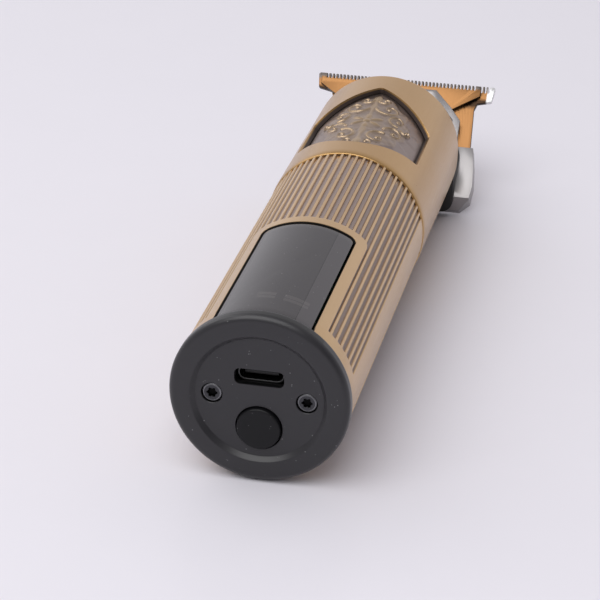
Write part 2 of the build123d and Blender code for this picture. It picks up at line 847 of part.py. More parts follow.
def tension_spacer():
    """Spacer that holds the tension plate just above the moving blade."""
    depth = tension_end - base_start - spacer_gap
    outline = Pos(0, -tension_end + depth / 2) * Rectangle(2 * tension_half_width, depth)
    for x in (-tension_screw_side, tension_screw_side):
        outline -= Pos(x, -tension_screw_along) * Circle(screw_shank_radius)
    return plate(outline, fixed_thickness, tension_floor)


def tension_screws():
    """Two low screws that fasten the tension plate and spacer."""
    screws = []
    top = tension_floor + tension_thickness
    for x in (-tension_screw_side, tension_screw_side):
        place = Pos(x, -tension_screw_along)
        shank = plate(place * Circle(screw_shank_radius), fixed_thickness, top)
        head = plate(place * Circle(tension_screw_head_radius), top, top + tension_screw_head_height)
        screws.append(shank + head)
    return Compound(children=screws)


def blade_base():
    """Bright metal base behind the fixed blade, with a rounded heel that rests on the table."""
    heel = heel_along_plane
    outline = mirrored([
        (base_front_half_width, -base_start),
        (base_half_width - base_corner_width, -base_start - base_corner_length),
        (base_half_width, -base_start - base_swell_length),
        (base_half_width - base_heel_draw, -heel + base_heel_corner),
        (base_heel_half_width, -heel),
    ])
    base = plate(outline, 0, base_thickness)
    pocket = Pos(0, -fixed_length / 2) * Rectangle(2 * (fixed_plate_half_width + clearance), fixed_length)
    base -= plate(pocket, 0, fixed_thickness)
    window_depth = tension_end + base_window_end_gap
    window = Rectangle(2 * (tension_half_width + base_window_side_gap), window_depth)
    base -= plate(Pos(0, -window_depth / 2) * window, 0, base_thickness)
    for x in (-blade_screw_spacing / 2, blade_screw_spacing / 2):
        base -= plate(Pos(x, -blade_screw_along) * Circle(screw_shank_radius), 0, base_thickness)
    behind = Rectangle(4 * base_half_width, 4 * axis_height)
    return base - along(behind, head_end - overrun, heel_face)


def blade_screws():
    """Two screws through the fixed blade and base into the nose."""
    screws = []
    for x in (-blade_screw_spacing / 2, blade_screw_spacing / 2):
        place = Pos(x, -blade_screw_along)
        head = plate(place * Circle(blade_screw_head), -blade_screw_proud, 0)
        shank = plate(place * Circle(screw_shank_radius), 0, base_thickness + blade_screw_reach)
        bars = Rectangle(cross_length, cross_width) + Rectangle(cross_width, cross_length)
        cross = plate(place * bars, -blade_screw_proud, -cross_floor)
        screws.append(head + shank - cross)
    return Compound(children=screws)


def blade_nose():
    """Black plastic nose that carries the blade set out of the head shell."""
    start = mount_at + mount_thickness
    inner = 1.0 / math.cos(slope)
    edge = tip_along - tip_rise / math.tan(slope)
    front = edge - (base_thickness + clearance) * inner
    back = heel_face - clearance
    foot = nose_skirt_rise - axis_height
    top = head_front_radius - head_wall - nose_drop
    outline = make_face(Polyline(
        (start, foot),
        (start, top),
        (head_end, top),
        (front + nose_crown, nose_crown),
        (back, (back - front) * math.tan(slope)),
        (back, foot),
        close=True,
    ))
    side = Plane(origin=(0, 0, axis_height), x_dir=(0, 1, 0), z_dir=(1, 0, 0))
    radius = head_front_radius - head_wall - nose_side_gap
    height = axis_height - nose_skirt_top - nose_skirt_rise
    section_middle = -nose_skirt_top - height / 2
    skirt_section = RectangleRounded(2 * nose_skirt_half_width, height, nose_skirt_corner)
    skirt_section = Pos(0, section_middle) * skirt_section
    shape = rod(radius, start, head_end - nose_shoulder_depth) + rod(nose_radius, start, tip_along)
    shape += along(skirt_section, head_end + nose_skirt_gap, tip_along)
    nose = extrude(side * outline, amount=nose_skirt_half_width, both=True) & shape
    nose -= rod(cam_radius + cam_room, start, cam_at + cam_length + cam_end_room)
    reach = follower_half_width + throw + follower_room
    tunnel = Rectangle(2 * reach, follower_height + 8 * follower_room)
    nose -= along(tunnel, cam_at + cam_length + cam_end_room, tip_along)
    for x in (-motor_screw_circle, motor_screw_circle):
        nose -= rod(motor_screw_radius + screw_pocket_gap, start, start + screw_pocket_depth, x)
    for x in (-blade_screw_spacing / 2, blade_screw_spacing / 2):
        place = Pos(x, -blade_screw_along) * Circle(screw_shank_radius)
        nose -= plate(place, base_thickness, base_thickness + blade_screw_reach)
    return nose


nodes = {
    "end_cap": end_cap,
    "cap_gasket": cap_gasket,
    "cap_screws": cap_screws,
    "usb_shell": usb_shell,
    "usb_tongue": usb_tongue,
    "charge_board": charge_board,
    "power_button": power_button,
    "switch_plunger": switch_plunger,
    "switch_body": switch_body,
    "barrel": barrel,
    "display_lens": display_lens,
    "display_board": display_board,
    "display_panel": display_panel,
    "coupling_ring": coupling_ring,
    "battery_cell": battery_cell,
    "battery_tabs": battery_tabs,
    "battery_cradle": battery_cradle,
    "main_board": main_board,
    "board_chips": board_chips,
    "head_shell": head_shell,
    "emblem_plate": emblem_plate,
    "motor_can": motor_can,
    "motor_end_cap": motor_end_cap,
    "motor_bushes": motor_bushes,
    "motor_magnets": motor_magnets,
    "motor_rotor": motor_rotor,
    "motor_shaft": motor_shaft,
    "motor_terminals": motor_terminals,
    "motor_leads": motor_leads,
    "motor_mount": motor_mount,
    "motor_screws": motor_screws,
    "eccentric_cam": eccentric_cam,
    "cam_follower": cam_follower,
    "moving_blade": moving_blade,
    "fixed_blade": fixed_blade,
    "tension_plate": tension_plate,
    "tension_spacer": tension_spacer,
    "tension_screws": tension_screws,
    "blade_base": blade_base,
    "blade_screws": blade_screws,
    "blade_nose": blade_nose,
}

# The origin moves from the end cap's face to under the middle of the whole clipper.
to_middle = Pos(0, -tip_along / 2, 0)

for name, make in nodes.items():
    export_step(to_middle * make(), f"parts/{name}.step")
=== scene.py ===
import json
import math

import bmesh
import bpy
import numpy as np
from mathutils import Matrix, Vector


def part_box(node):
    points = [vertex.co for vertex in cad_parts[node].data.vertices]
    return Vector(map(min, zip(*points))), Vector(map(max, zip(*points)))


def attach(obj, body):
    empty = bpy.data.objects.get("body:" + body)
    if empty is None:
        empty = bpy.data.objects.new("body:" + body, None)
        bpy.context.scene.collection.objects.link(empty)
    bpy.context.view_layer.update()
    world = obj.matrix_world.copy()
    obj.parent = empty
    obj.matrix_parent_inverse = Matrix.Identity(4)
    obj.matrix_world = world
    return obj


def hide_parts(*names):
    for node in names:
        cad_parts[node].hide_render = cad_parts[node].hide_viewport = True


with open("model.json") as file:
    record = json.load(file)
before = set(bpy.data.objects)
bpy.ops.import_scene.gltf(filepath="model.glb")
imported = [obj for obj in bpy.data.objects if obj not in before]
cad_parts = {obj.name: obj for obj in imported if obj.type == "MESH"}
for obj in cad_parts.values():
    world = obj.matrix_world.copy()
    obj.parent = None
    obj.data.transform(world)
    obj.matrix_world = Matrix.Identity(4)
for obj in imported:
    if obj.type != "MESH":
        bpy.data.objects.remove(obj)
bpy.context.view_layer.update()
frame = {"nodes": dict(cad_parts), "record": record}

MM = 0.001
TAU = 2 * math.pi

# ------------------------------------------------------------ places read from the frame
cap_low, cap_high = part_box("end_cap")
barrel_low, barrel_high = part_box("barrel")
lens_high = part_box("display_lens")[1]
shell_low, shell_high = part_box("head_shell")
button_low, button_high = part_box("power_button")
plate_low, plate_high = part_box("emblem_plate")
blade_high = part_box("fixed_blade")[1]

AXIS = (cap_low.z + cap_high.z) / 2        # height of the body axis
RIM = cap_high.x                           # cap rim radius
CAP_Y = cap_low.y
BARREL = barrel_high.x
BARREL_Y = barrel_low.y
BARREL_END = barrel_high.y
HEAD_Y = shell_low.y
HEAD_END = shell_high.y
EDGE_TRIM = 0.4 * MM
BLADE_EDGE = blade_high.y + blade_high.z - EDGE_TRIM    # sum of Y and Z just beyond the cutting edge
BLADE_END = blade_high.x
BUTTON_Z = (button_low.z + button_high.z) / 2

# ------------------------------------------------------------ sizes of the finer shapes
BARREL_WALL = 1.2 * MM
HEAD_WALL = 1.3 * MM
HEAD_REAR = shell_high.x
HEAD_FRONT = HEAD_REAR - 0.3 * MM
HEAD_FULLNESS = 0.35
RIB_PITCH = math.radians(5.4)
RIB_COUNT = 14                             # grooves each side of the centre line
RIB_DEPTH = 0.5 * MM
RIB_HALF = 0.46 * MM
RIB_EDGE = 0.11 * MM
RIB_START = BARREL_Y + 3.9 * MM
WINDOW_ANGLE = math.radians(34.6)
WINDOW_END = lens_high.y + 0.18 * MM
WINDOW_HALF = BARREL * math.sin(WINDOW_ANGLE) + 0.06 * MM
FRAME_ANGLE = math.radians(43.2)
FRAME_BORDER = 2.6 * MM
FRAME_CORNER = 2.4 * MM
DISC_RECESS = 0.9 * MM
PORT_RISE = 4.34 * MM                      # socket above the body axis
SCREW_X = 9.32 * MM
SCREW_SINK = 0.2 * MM                      # screw heads below the disc
BUTTON_RADIUS = 4.35 * MM
# edge of the window's painted reflection, 20.8 degrees from the top
REFLECTION_EDGE = BARREL * math.sin(math.radians(20.8))
EMBLEM_ANGLE = math.radians(50.5)
EMBLEM_HALF = BARREL * EMBLEM_ANGLE        # half width in arc length
EMBLEM_REAR = HEAD_Y + 5.7 * MM            # rear point, both ends of the straight sides, and front point
EMBLEM_LOW = HEAD_Y + 12.0 * MM
EMBLEM_HIGH = EMBLEM_LOW + 17.5 * MM
EMBLEM_APEX = EMBLEM_REAR + 35.6 * MM
EMBLEM_MIDDLE = EMBLEM_REAR + 17.2 * MM
PLATE_THICKNESS = 1.2 * MM
PLATE_RADIUS = HEAD_FRONT - HEAD_WALL - 0.05 * MM
RELIEF_HEIGHT = 0.62

BLADE_NORMAL = np.array([0, -math.sqrt(0.5), math.sqrt(0.5)])

# ------------------------------------------------------------ room and floor
FLOOR_DROP = -0.0003
FLOOR_COLOR = (0.77, 0.75, 0.80)
ROOM_COLOR = (0.97, 0.955, 1.0)
ROOM_BACK = 0.60
ROOM_FRONT = 0.39
ROOM_RIGHT = 0.45                          # share of the front level that is left at the right
CAMERA_PLACE = (0.0904655, -0.4586665, 0.230974)
CAMERA_TURN = (63.800, -0.632, 12.589)     # degrees
CAMERA_LENS = 140.07                       # millimetres

# ------------------------------------------------------------ finishes used more than once
PAINTED_SHADE = (0.03, 0.02, 0.015)                # painted shade on the coated blade's walls, and its painted shadow band
BRUSH_STRETCH = (1500.0, 120.0, 120.0)     # fine lines that run along the blade's Y and Z


# ------------------------------------------------------------ mesh making
def grid(points, wrap_rows=False, wrap_columns=False):
    """Quads over a grid of points [row, column, xyz]: each cell joins a point to its next row and column."""
    rows, columns = points.shape[:2]
    index = np.arange(rows * columns).reshape(rows, columns)
    if wrap_rows:
        index = np.concatenate([index, index[:1]], 0)
    if wrap_columns:
        index = np.concatenate([index, index[:, :1]], 1)
    quads = np.stack([index[:-1, :-1], index[:-1, 1:], index[1:, 1:], index[1:, :-1]], -1)
    return points.reshape(-1, 3), quads.reshape(-1, 4)


def make_piece(name, parts, sharp=32, marks=None):
    """One object from several grids, with doubled points merged, faces outwards and soft shading up to an
    angle. marks is one number for each point, kept as the attribute 'recess'."""
    points = np.concatenate([p for p, q in parts])
    starts = np.cumsum([0] + [len(p) for p, q in parts[:-1]])
    quads = np.concatenate([q + s for (p, q), s in zip(parts, starts)])
    mesh = bpy.data.meshes.new(name)
    mesh.from_pydata(points.tolist(), [], quads.tolist())
    if marks is not None:
        layer = mesh.attributes.new("recess", "FLOAT", "POINT")
        layer.data.foreach_set("value", np.ascontiguousarray(marks, np.float32))
    work = bmesh.new()
    work.from_mesh(mesh)
    bmesh.ops.remove_doubles(work, verts=work.verts, dist=1e-6)
    bmesh.ops.dissolve_degenerate(work, edges=work.edges, dist=1e-7)
    bmesh.ops.recalc_face_normals(work, faces=work.faces)
    work.to_mesh(mesh)
    work.free()
    mesh.validate()
    return finish_mesh(name, mesh, sharp)


def finish_mesh(name, mesh, sharp):
    """Object for a mesh, shaded smooth except across edges sharper than the angle in degrees."""
    mesh.shade_smooth()
    mesh.set_sharp_from_angle(angle=math.radians(sharp))
    piece = bpy.data.objects.new(name, mesh)
    bpy.context.scene.collection.objects.link(piece)
    return piece


def baked(piece, sharp):
    """The piece with its modifiers applied, in place of the first one."""
    view = bpy.context.evaluated_depsgraph_get()
    view.update()
    mesh = bpy.data.meshes.new_from_object(piece.evaluated_get(view))
    name = piece.name
    bpy.data.objects.remove(piece)
    mesh.name = name
    return finish_mesh(name, mesh, sharp)


def cut(piece, cutters, sharp=32):
    """The piece with the cutter solids taken out of it."""
    for cutter in cutters:
        change = piece.modifiers.new("cut", "BOOLEAN")
        change.operation = "DIFFERENCE"
        change.solver = "EXACT"
        change.object = cutter
    result = baked(piece, sharp)
    for cutter in cutters:
        bpy.data.objects.remove(cutter)
    return result


def turned(name, profile, centre=(0.0, 0.0), segments=128, sharp=32):
    """Solid of revolution: profile points (radius, y) carried round a line along Y through centre (x, z)."""
    profile = np.array(profile, float)
    turn = np.linspace(0, TAU, segments, endpoint=False)[:, None]
    x = centre[0] + profile[None, :, 0] * np.cos(turn)
    z = centre[1] + profile[None, :, 0] * np.sin(turn)
    y = np.broadcast_to(profile[None, :, 1], x.shape)
    return make_piece(name, [grid(np.stack([x, y, z], -1), wrap_rows=True)], sharp)


def arc(centre, radius, start, end, count=7):
    """Points on a circle arc in a profile, angles in degrees from the radius axis towards +Y."""
    angles = np.radians(np.linspace(start, end, count))
    return [(centre[0] + radius * math.cos(a), centre[1] + radius * math.sin(a)) for a in angles]


def rounded_box(half_x, half_z, corner, count=8):
    """Closed outline of a rounded rectangle, anticlockwise from its right side."""
    turn = np.linspace(0, math.pi / 2, count)
    points = []
    for quarter, (sx, sz) in enumerate([(1, 1), (-1, 1), (-1, -1), (1, -1)]):
        a = turn + quarter * math.pi / 2
        x = sx * (half_x - corner) + corner * np.cos(a)
        z = sz * (half_z - corner) + corner * np.sin(a)
        points.append(np.stack([x, z], -1))
    return np.concatenate(points)


def tunnel(name, outline, levels, centre=(0.0, 0.0)):
    """Closed prism along Y: the outline (x, z) at each level (y, growth). A point moves straight out from the
    middle by the growth, and a growth of None closes the end."""
    outline = np.asarray(outline)
    reach = np.linalg.norm(outline, axis=1, keepdims=True)
    rings = []
    for y, growth in levels:
        flat = outline * (1 + growth / reach) if growth is not None else outline * 0
        x = flat[:, 0] + centre[0]
        z = flat[:, 1] + centre[1]
        rings.append(np.stack([x, np.full(len(x), y), z], -1))
    return make_piece(name, [grid(np.array(rings), wrap_columns=True)])


def section(base, points):
    """Profile from pairs in millimetres: a radius, and a distance beyond the Y of its base."""
    return [(radius * MM, base + beyond * MM) for radius, beyond in points]


def smooth_step(low, high, value):
    """0 below low, 1 above high, with an S-curve between."""
    share = np.clip((value - low) / (high - low), 0, 1)
    return share * share * (3 - 2 * share)


def on_body(angle, y, radius):
    """Points at an angle from the top about the body axis, positive towards +X."""
    return np.stack([radius * np.sin(angle), y + 0 * angle, AXIS + radius * np.cos(angle)], -1)


# ------------------------------------------------------------ barrel
def frame_distance(around, y):
    """Distance outside the plain frame round the window: a rounded rectangle in arc length and Y, below zero
    inside."""
    half = BARREL * FRAME_ANGLE
    end = WINDOW_END + FRAME_BORDER
    side = np.abs(around) - (half - FRAME_CORNER)
    ahead = y - (end - FRAME_CORNER)
    outside = np.hypot(np.maximum(side, 0), np.maximum(ahead, 0))
    return outside + np.minimum(np.maximum(side, ahead), 0) - FRAME_CORNER


def barrel_columns():
    """Angles of the mesh columns: a close set across each groove and a few on the plain sides."""
    across = np.array([0.0, 0.2, 0.33, 0.4, 0.46, 0.52, 0.59]) * MM
    across = np.unique(np.concatenate([-across, across])) / BARREL
    grooves = np.arange(-RIB_COUNT, RIB_COUNT + 1) * RIB_PITCH
    top = (grooves[:, None] + across[None, :]).ravel()
    plain = np.linspace(top.max(), math.pi - top.max(), 9)[1:-1]
    return np.concatenate([top, plain, top + math.pi, plain + math.pi])


def barrel_rows():
    """Y places of the mesh rows, close together where grooves and frame end."""
    near_cap = np.arange(RIB_START - 0.6 * MM, RIB_START + 0.8 * MM, 0.075 * MM)
    near_frame = np.arange(WINDOW_END - 0.4 * MM, WINDOW_END + FRAME_BORDER + 0.4 * MM, 0.1 * MM)
    plain = np.linspace(BARREL_Y, BARREL_END, 20)
    rows = np.unique(np.round(np.concatenate([near_cap, near_frame, plain]), 6))
    keep = np.concatenate([[True], np.diff(rows) > 0.04 * MM])
    return rows[keep]


def make_barrel():
    """Ribbed tube: the radius drops by a smooth groove around each rib line, rounded at the cap end,
    and not inside the window's frame; an inner tube closes the wall, and the window is cut out."""
    angles = barrel_columns()
    rows = barrel_rows()
    angle, y = np.meshgrid(angles, rows)
    folded = np.where(angle > math.pi / 2 + 0.01, angle - math.pi, angle)
    nearest = np.clip(np.round(folded / RIB_PITCH), -RIB_COUNT, RIB_COUNT) * RIB_PITCH
    across = np.abs(folded - nearest) * BARREL
    past_end = np.maximum(RIB_START + RIB_HALF - y, 0)
    reach = np.maximum(across, 0) ** 4 + past_end ** 4
    groove = 1 - smooth_step(RIB_HALF - RIB_EDGE, RIB_HALF + RIB_EDGE, reach ** 0.25)
    upper = angle < math.pi / 2 + 0.01
    outside = smooth_step(-0.02 * MM, 0.14 * MM, frame_distance(angle * BARREL, y))
    groove = groove * np.where(upper, outside, 1)
    edge = 0.15 * MM * (np.exp(-((y - BARREL_Y) / (0.1 * MM)) ** 2))
    radius = BARREL - RIB_DEPTH * groove - edge
    outer = grid(on_body(angle, y, radius), wrap_columns=True)
    bore = BARREL - BARREL_WALL
    first = on_body(angle[0], y[0], radius[0])
    last = on_body(angle[-1], y[-1], radius[-1])
    in_first = on_body(angle[0], y[0], bore)
    in_last = on_body(angle[-1], y[-1], bore)
    rest = grid(np.stack([first, in_first, in_last, last]), wrap_columns=True)
    marks = np.concatenate([groove.ravel(), np.zeros(4 * len(angles))])
    tube = make_piece("barrel_skin", [outer, rest], marks=marks)
    tube = cut(tube, [window_cutter()])
    # painted shade on the walls nearer the axis than the skin
    return paint_shade_below(tube, BARREL - 0.8 * MM)


def paint_shade_below(piece, radius):
    """The recess attribute set to 1 nearer the axis than the radius, as on an opening's walls, for painted
    shade there.
    """
    count = len(piece.data.vertices)
    place = np.empty(count * 3, np.float32)
    piece.data.vertices.foreach_get("co", place)
    place = place.reshape(-1, 3)
    layer = piece.data.attributes["recess"]
    marks = np.empty(count, np.float32)
    layer.data.foreach_get("value", marks)
    inside = np.hypot(place[:, 0], place[:, 2] - AXIS) < radius
    layer.data.foreach_set("value", np.where(inside, 1, marks).astype(np.float32))
    return piece


def window_outline(inset=0.0, corner=1.6 * MM, count=10):
    """Closed outline of the window in arc length and Y: square at the cap, rounded at the far end."""
    half = BARREL * WINDOW_ANGLE - inset
    end = WINDOW_END - inset
    start = BARREL_Y - (2 * MM if inset == 0 else -0.05 * MM)
    turn = np.linspace(0, math.pi / 2, count)
    right = np.stack([half - corner + corner * np.cos(turn), end - corner + corner * np.sin(turn)], -1)
    left = right[::-1] * [-1, 1]
    across = np.linspace(-half, half, 24)
    bottom = np.stack([across, np.full_like(across, start)], -1)
    side = np.linspace(start, end - corner, 16)[1:-1]
    right_side = np.stack([np.full_like(side, half), side], -1)
    far = np.linspace(half - corner, -half + corner, 24)[1:-1]
    far_edge = np.stack([far, np.full_like(far, end)], -1)
    left_side = (right_side * [-1, 1])[::-1]
    return np.concatenate([bottom, right_side, right, far_edge, left, left_side])


def shrunk_rings(outline, levels):
    """Rings of an outline on the body: each level is (share of the outline kept, radius)."""
    centre = (outline.min(0) + outline.max(0)) / 2
    rings = []
    for keep, radius in levels:
        flat = centre + (outline - centre) * keep
        rings.append(on_body(flat[:, 0] / BARREL, flat[:, 1], radius))
    return np.array(rings)


def window_cutter():
    """Solid that cuts the window: its outline, from inside the tube to above it, flared at the edge."""
    outline = window_outline()
    flare = 1 + 0.04 / 10.0
    low = BARREL - 4 * MM
    high = BARREL + 3 * MM
    levels = [(0.0, low), (0.5, low), (1.0, low), (1.0, BARREL - 0.14 * MM), (flare, BARREL + 0.12 * MM)]
    levels += [(flare, high), (0.5, high), (0.0, high)]
    return make_piece("window_cutter", [grid(shrunk_rings(outline, levels), wrap_columns=True)])


def make_lens():
    """Curved window: its outline shrunk in steps towards the middle, with a small rounded edge all round."""
    outline = window_outline(0.42 * MM, 1.2 * MM)
    top = BARREL - 0.24 * MM
    round_edge = 0.25 * MM
    levels = [(0.0, top - 1.5 * MM), (0.5, top - 1.5 * MM), (1.0, top - 1.5 * MM)]
    for turn in np.linspace(0, math.pi / 2, 5):
        inset = round_edge * (1 - math.cos(turn))
        levels.append((1 - inset / (10 * MM), top - round_edge * (1 - math.sin(turn))))
    levels += [(k, top) for k in (0.9, 0.75, 0.6, 0.45, 0.3, 0.15, 0.0)]
    return make_piece("window_lens", [grid(shrunk_rings(outline, levels), wrap_columns=True)], sharp=50)


# ------------------------------------------------------------ end cap
def make_cap():
    """Turned cap: flat disc, sloped wall, flat ring, round rim and a spigot, then bored for what it holds."""
    face = [(0, 0.9), (4, 0.9), (9, 0.9), (12.46, 0.90), (12.56, 0.88), (12.64, 0.83)]
    slope = [(12.70, 0.77), (13.05, 0.45), (13.40, 0.13), (13.47, 0.07), (13.56, 0.02)]
    ring = [(13.70, 0), (15.2, 0.02), (16.2, 0.05)]
    spigot = [(16.15, 3.1), (14.6, 3.05), (14.55, 2.7), (0, 2.7)]
    profile = section(CAP_Y, face + slope + ring)
    profile += arc((RIM - 1.35 * MM, CAP_Y + 1.4 * MM), 1.35 * MM, -88, 0, 12)
    profile += [(RIM, CAP_Y + 2.4 * MM)]
    profile += arc((RIM - 0.4 * MM, CAP_Y + 2.7 * MM), 0.4 * MM, 0, 90, 5)
    profile += section(CAP_Y, spigot)
    cap = turned("cap_body", profile, (0, AXIS), 192)
    return cut(cap, cap_cutters())


def cap_cutters():
    """Bores for the socket, the button and both screws, each flared a little at the disc."""
    disc = CAP_Y + DISC_RECESS
    above = disc - 1 * MM
    back = CAP_Y + 4 * MM
    port = rounded_box(4.85 * MM, 1.66 * MM, 1.1 * MM)
    levels = [(above, None), (above, 0.08 * MM), (disc, 0.05 * MM), (disc + 0.08 * MM, 0)]
    levels += [(back, 0), (back, None)]
    cutters = [tunnel("port_cutter", port, levels, (0, AXIS + PORT_RISE))]
    profile = section(disc, [(0, -1), (4.7, -1), (4.7, 0), (4.6, 0.12), (4.6, 3.1), (0, 3.1)])
    cutters.append(turned("button_cutter", profile, (0, BUTTON_Z), 96))
    pocket = [(0, -1), (2.22, -1), (2.20, 0), (2.12, 0.1), (2.12, 1.45)]
    profile = section(disc, pocket + [(1.2, 1.45), (1.2, 3.1), (0, 3.1)])
    for x in (-SCREW_X, SCREW_X):
        cutters.append(turned("screw_cutter", profile, (x, AXIS), 64))
    return cutters


def make_cap_screws():
    """Two screws: a turned head with a bevelled rim, and a recess of six lobes, whose radius follows the
    cosine of six times the angle."""
    head = CAP_Y + DISC_RECESS + SCREW_SINK
    bevel = [(0, 0), (1.5, 0), (1.72, 0.03), (1.9, 0.16), (1.95, 0.3)]
    shank = [(1.95, 1.2), (1.1, 1.2), (1.1, 8), (0, 8)]
    turn = np.linspace(0, TAU, 72, endpoint=False)
    star = 0.92 * MM * (1 + 0.15 * np.cos(6 * turn))
    outline = np.stack([star * np.cos(turn), star * np.sin(turn)], -1)
    levels = [(head - 1 * MM, None), (head - 1 * MM, 0.1 * MM), (head, 0.07 * MM), (head + 0.12 * MM, 0)]
    levels += [(head + 0.75 * MM, -0.05 * MM), (head + 0.9 * MM, None)]
    made = []
    for x in (-SCREW_X, SCREW_X):
        screw = turned("cap_screw", section(head, bevel + shank), (x, AXIS), 64)
        made.append(cut(screw, [tunnel("star_cutter", outline, levels, (x, AXIS))]))
    return joined("cap_screw_pair", made)


def joined(name, pieces, sharp=32):
    """One object from several, their meshes put together as they stand."""
    work = bmesh.new()
    for piece in pieces:
        work.from_mesh(piece.data)
        bpy.data.objects.remove(piece)
    mesh = bpy.data.meshes.new(name)
    work.to_mesh(mesh)
    work.free()
    return finish_mesh(name, mesh, sharp)


def make_button():
    """Turned push button: a barely domed face, a soft edge, and the flange and boss behind."""
    y = button_low.y
    profile = section(y, [(0, 0), (1.5, 0.005), (3, 0.02), (3.7, 0.035)])
    profile += arc((BUTTON_RADIUS - 0.4 * MM, y + 0.45 * MM), 0.4 * MM, -86, 0, 8)
    profile += [(BUTTON_RADIUS, y + 2.75 * MM)] + section(y, [(5.3, 2.75), (5.3, 3.65), (2.2, 3.65)])
    profile += [(2.2 * MM, button_high.y), (0, button_high.y)]
    return turned("button_cap", profile, (0, BUTTON_Z), 128)


# ------------------------------------------------------------ head shell
def shell_radius(angle, share):
    """Radius of the head at an angle from the top: round above, and below a superellipse that grows fuller
    forward."""
    blend = smooth_step(0, 1, share)
    power = 2 + HEAD_FULLNESS * blend * (np.cos(angle) < 0)
    base = HEAD_REAR + (HEAD_FRONT - HEAD_REAR) * share
    return base / (np.abs(np.cos(angle)) ** power + np.abs(np.sin(angle)) ** power) ** (1 / power)


def make_shell():
    """Head shell: the outside and inside of the lofted form in one closed strip with rounded ends,
    with the shield opening cut from the top."""
    length = HEAD_END - HEAD_Y
    rear_start = 0.12 * MM
    rear_run = 1.9 * MM
    rear_drop = 0.26 * MM
    front_round = 0.6 * MM
    profile = [(0, -0.42 * MM), (0.03 * MM / length, -0.33 * MM), (rear_start / length, -rear_drop)]
    for turn in np.linspace(0.08, 1, 10) * math.pi / 2:
        run = rear_start + rear_run * (1 - math.cos(turn))
        profile.append((run / length, -rear_drop * (1 - math.sin(turn))))
    profile += [(s, 0) for s in np.linspace(0.05, 0.982, 72)]
    for turn in np.linspace(0, 1, 7) * math.pi / 2:
        short = front_round * (1 - math.sin(turn))
        profile.append((1 - short / length, -front_round * (1 - math.cos(turn))))
    profile += [(0.998, -HEAD_WALL * 0.85), (0.99, -HEAD_WALL)]
    profile += [(s, -HEAD_WALL) for s in np.linspace(0.9, 0, 24)]
    angles = np.linspace(-math.pi, math.pi, 320, endpoint=False)
    share = np.array([p[0] for p in profile])[:, None]
    inset = np.array([p[1] for p in profile])[:, None]
    radius = shell_radius(angles[None, :], share) + inset
    points = on_body(np.broadcast_to(angles, radius.shape), HEAD_Y + share * length, radius)
    shell = make_piece("shell_skin", [grid(points, wrap_rows=True, wrap_columns=True)])
    return cut(shell, [emblem_cutter()])


def emblem_outline(count=14):
    """Closed shield outline in arc length and Y, anticlockwise from the rear point. Each corner is a
    quadratic curve that starts and ends its bend away from it."""
    right = [(EMBLEM_HALF, EMBLEM_LOW), (EMBLEM_HALF, EMBLEM_HIGH)]
    left = [(-EMBLEM_HALF, EMBLEM_HIGH), (-EMBLEM_HALF, EMBLEM_LOW)]
    corners = [(0, EMBLEM_REAR), *right, (0, EMBLEM_APEX), *left]
    bend = [6 * MM] + 5 * [0.8 * MM]
    points = []
    for i, corner in enumerate(corners):
        here = np.array(corner)
        to_last = np.array(corners[i - 1]) - here
        to_next = np.array(corners[(i + 1) % 6]) - here
        start = here + to_last / np.linalg.norm(to_last) * bend[i]
        end = here + to_next / np.linalg.norm(to_next) * bend[i]
        t = np.linspace(0, 1, count)[:, None]
        points.append((1 - t) ** 2 * start + 2 * t * (1 - t) * here + t ** 2 * end)
        after = np.array(corners[(i + 1) % 6]) - to_next / np.linalg.norm(to_next) * bend[(i + 1) % 6]
        s = np.linspace(0, 1, count + 2)[1:-1, None]
        points.append(end + (after - end) * s)
    return np.concatenate(points)


def emblem_cutter():
    """Solid that cuts the shield opening through the wall, flared to chamfer its edge."""
    outline = emblem_outline()
    flare = 1 + 0.16 / 17
    low = HEAD_FRONT - 3.2 * MM
    high = HEAD_REAR + 3 * MM
    edge = 0.12 * MM
    levels = [(0.0, low), (0.6, low), (1.0, low), (1.0, HEAD_FRONT - edge), (flare, HEAD_REAR + edge)]
    levels += [(flare, high), (0.6, high), (0.0, high)]
    return make_piece("emblem_cutter", [grid(shrunk_rings(outline, levels), wrap_columns=True)])


# ------------------------------------------------------------ emblem plate
def ridge(distance, width):
    """Rounded band: 1 on its line, 0 at its width."""
    return np.sqrt(np.clip(1 - (distance / width) ** 2, 0, 1))


def scroll(x, y, centre, size, start, turns, side):
    """Height of one curling leaf: a band along a spiral whose radius shrinks with the angle from its start,
    thickest at its outer end and ending in a bead."""
    dx = (x - centre[0]) * side
    dy = y - centre[1]
    r = np.hypot(dx, dy)
    a = (np.arctan2(dy, dx) - start) % TAU
    height = np.zeros_like(x)
    for lap in range(turns):
        share = (a + lap * TAU) / (turns * TAU)
        line = size * (1 - 0.82 * share)
        width = size * 0.27 * (1 - 0.55 * share)
        vein = 0.80 + 0.20 * np.cos((r - line) / width * 6)
        height = np.maximum(height, ridge(r - line, width) * vein * (1 - 0.2 * share))
    return np.maximum(height, ridge(r, size * 0.2))


# curling leaves, in millimetres and radians: centre, size, start angle, turns and side
SCROLLS = [
    ((4.0, 8.4), 3.3, 3.4, 1, 1),
    ((7.3, 3.7), 2.9, 4.6, 1, -1),
    ((2.2, 12.6), 2.0, 2.6, 1, 1),
    ((4.2, -8.2), 3.3, 1.2, 1, 1),
    ((7.4, -3.3), 2.8, 0.2, 1, -1),
    ((2.1, -12.2), 2.0, 3.6, 1, 1),
    ((10.2, 0.4), 1.6, 3.14, 1, 1),
]


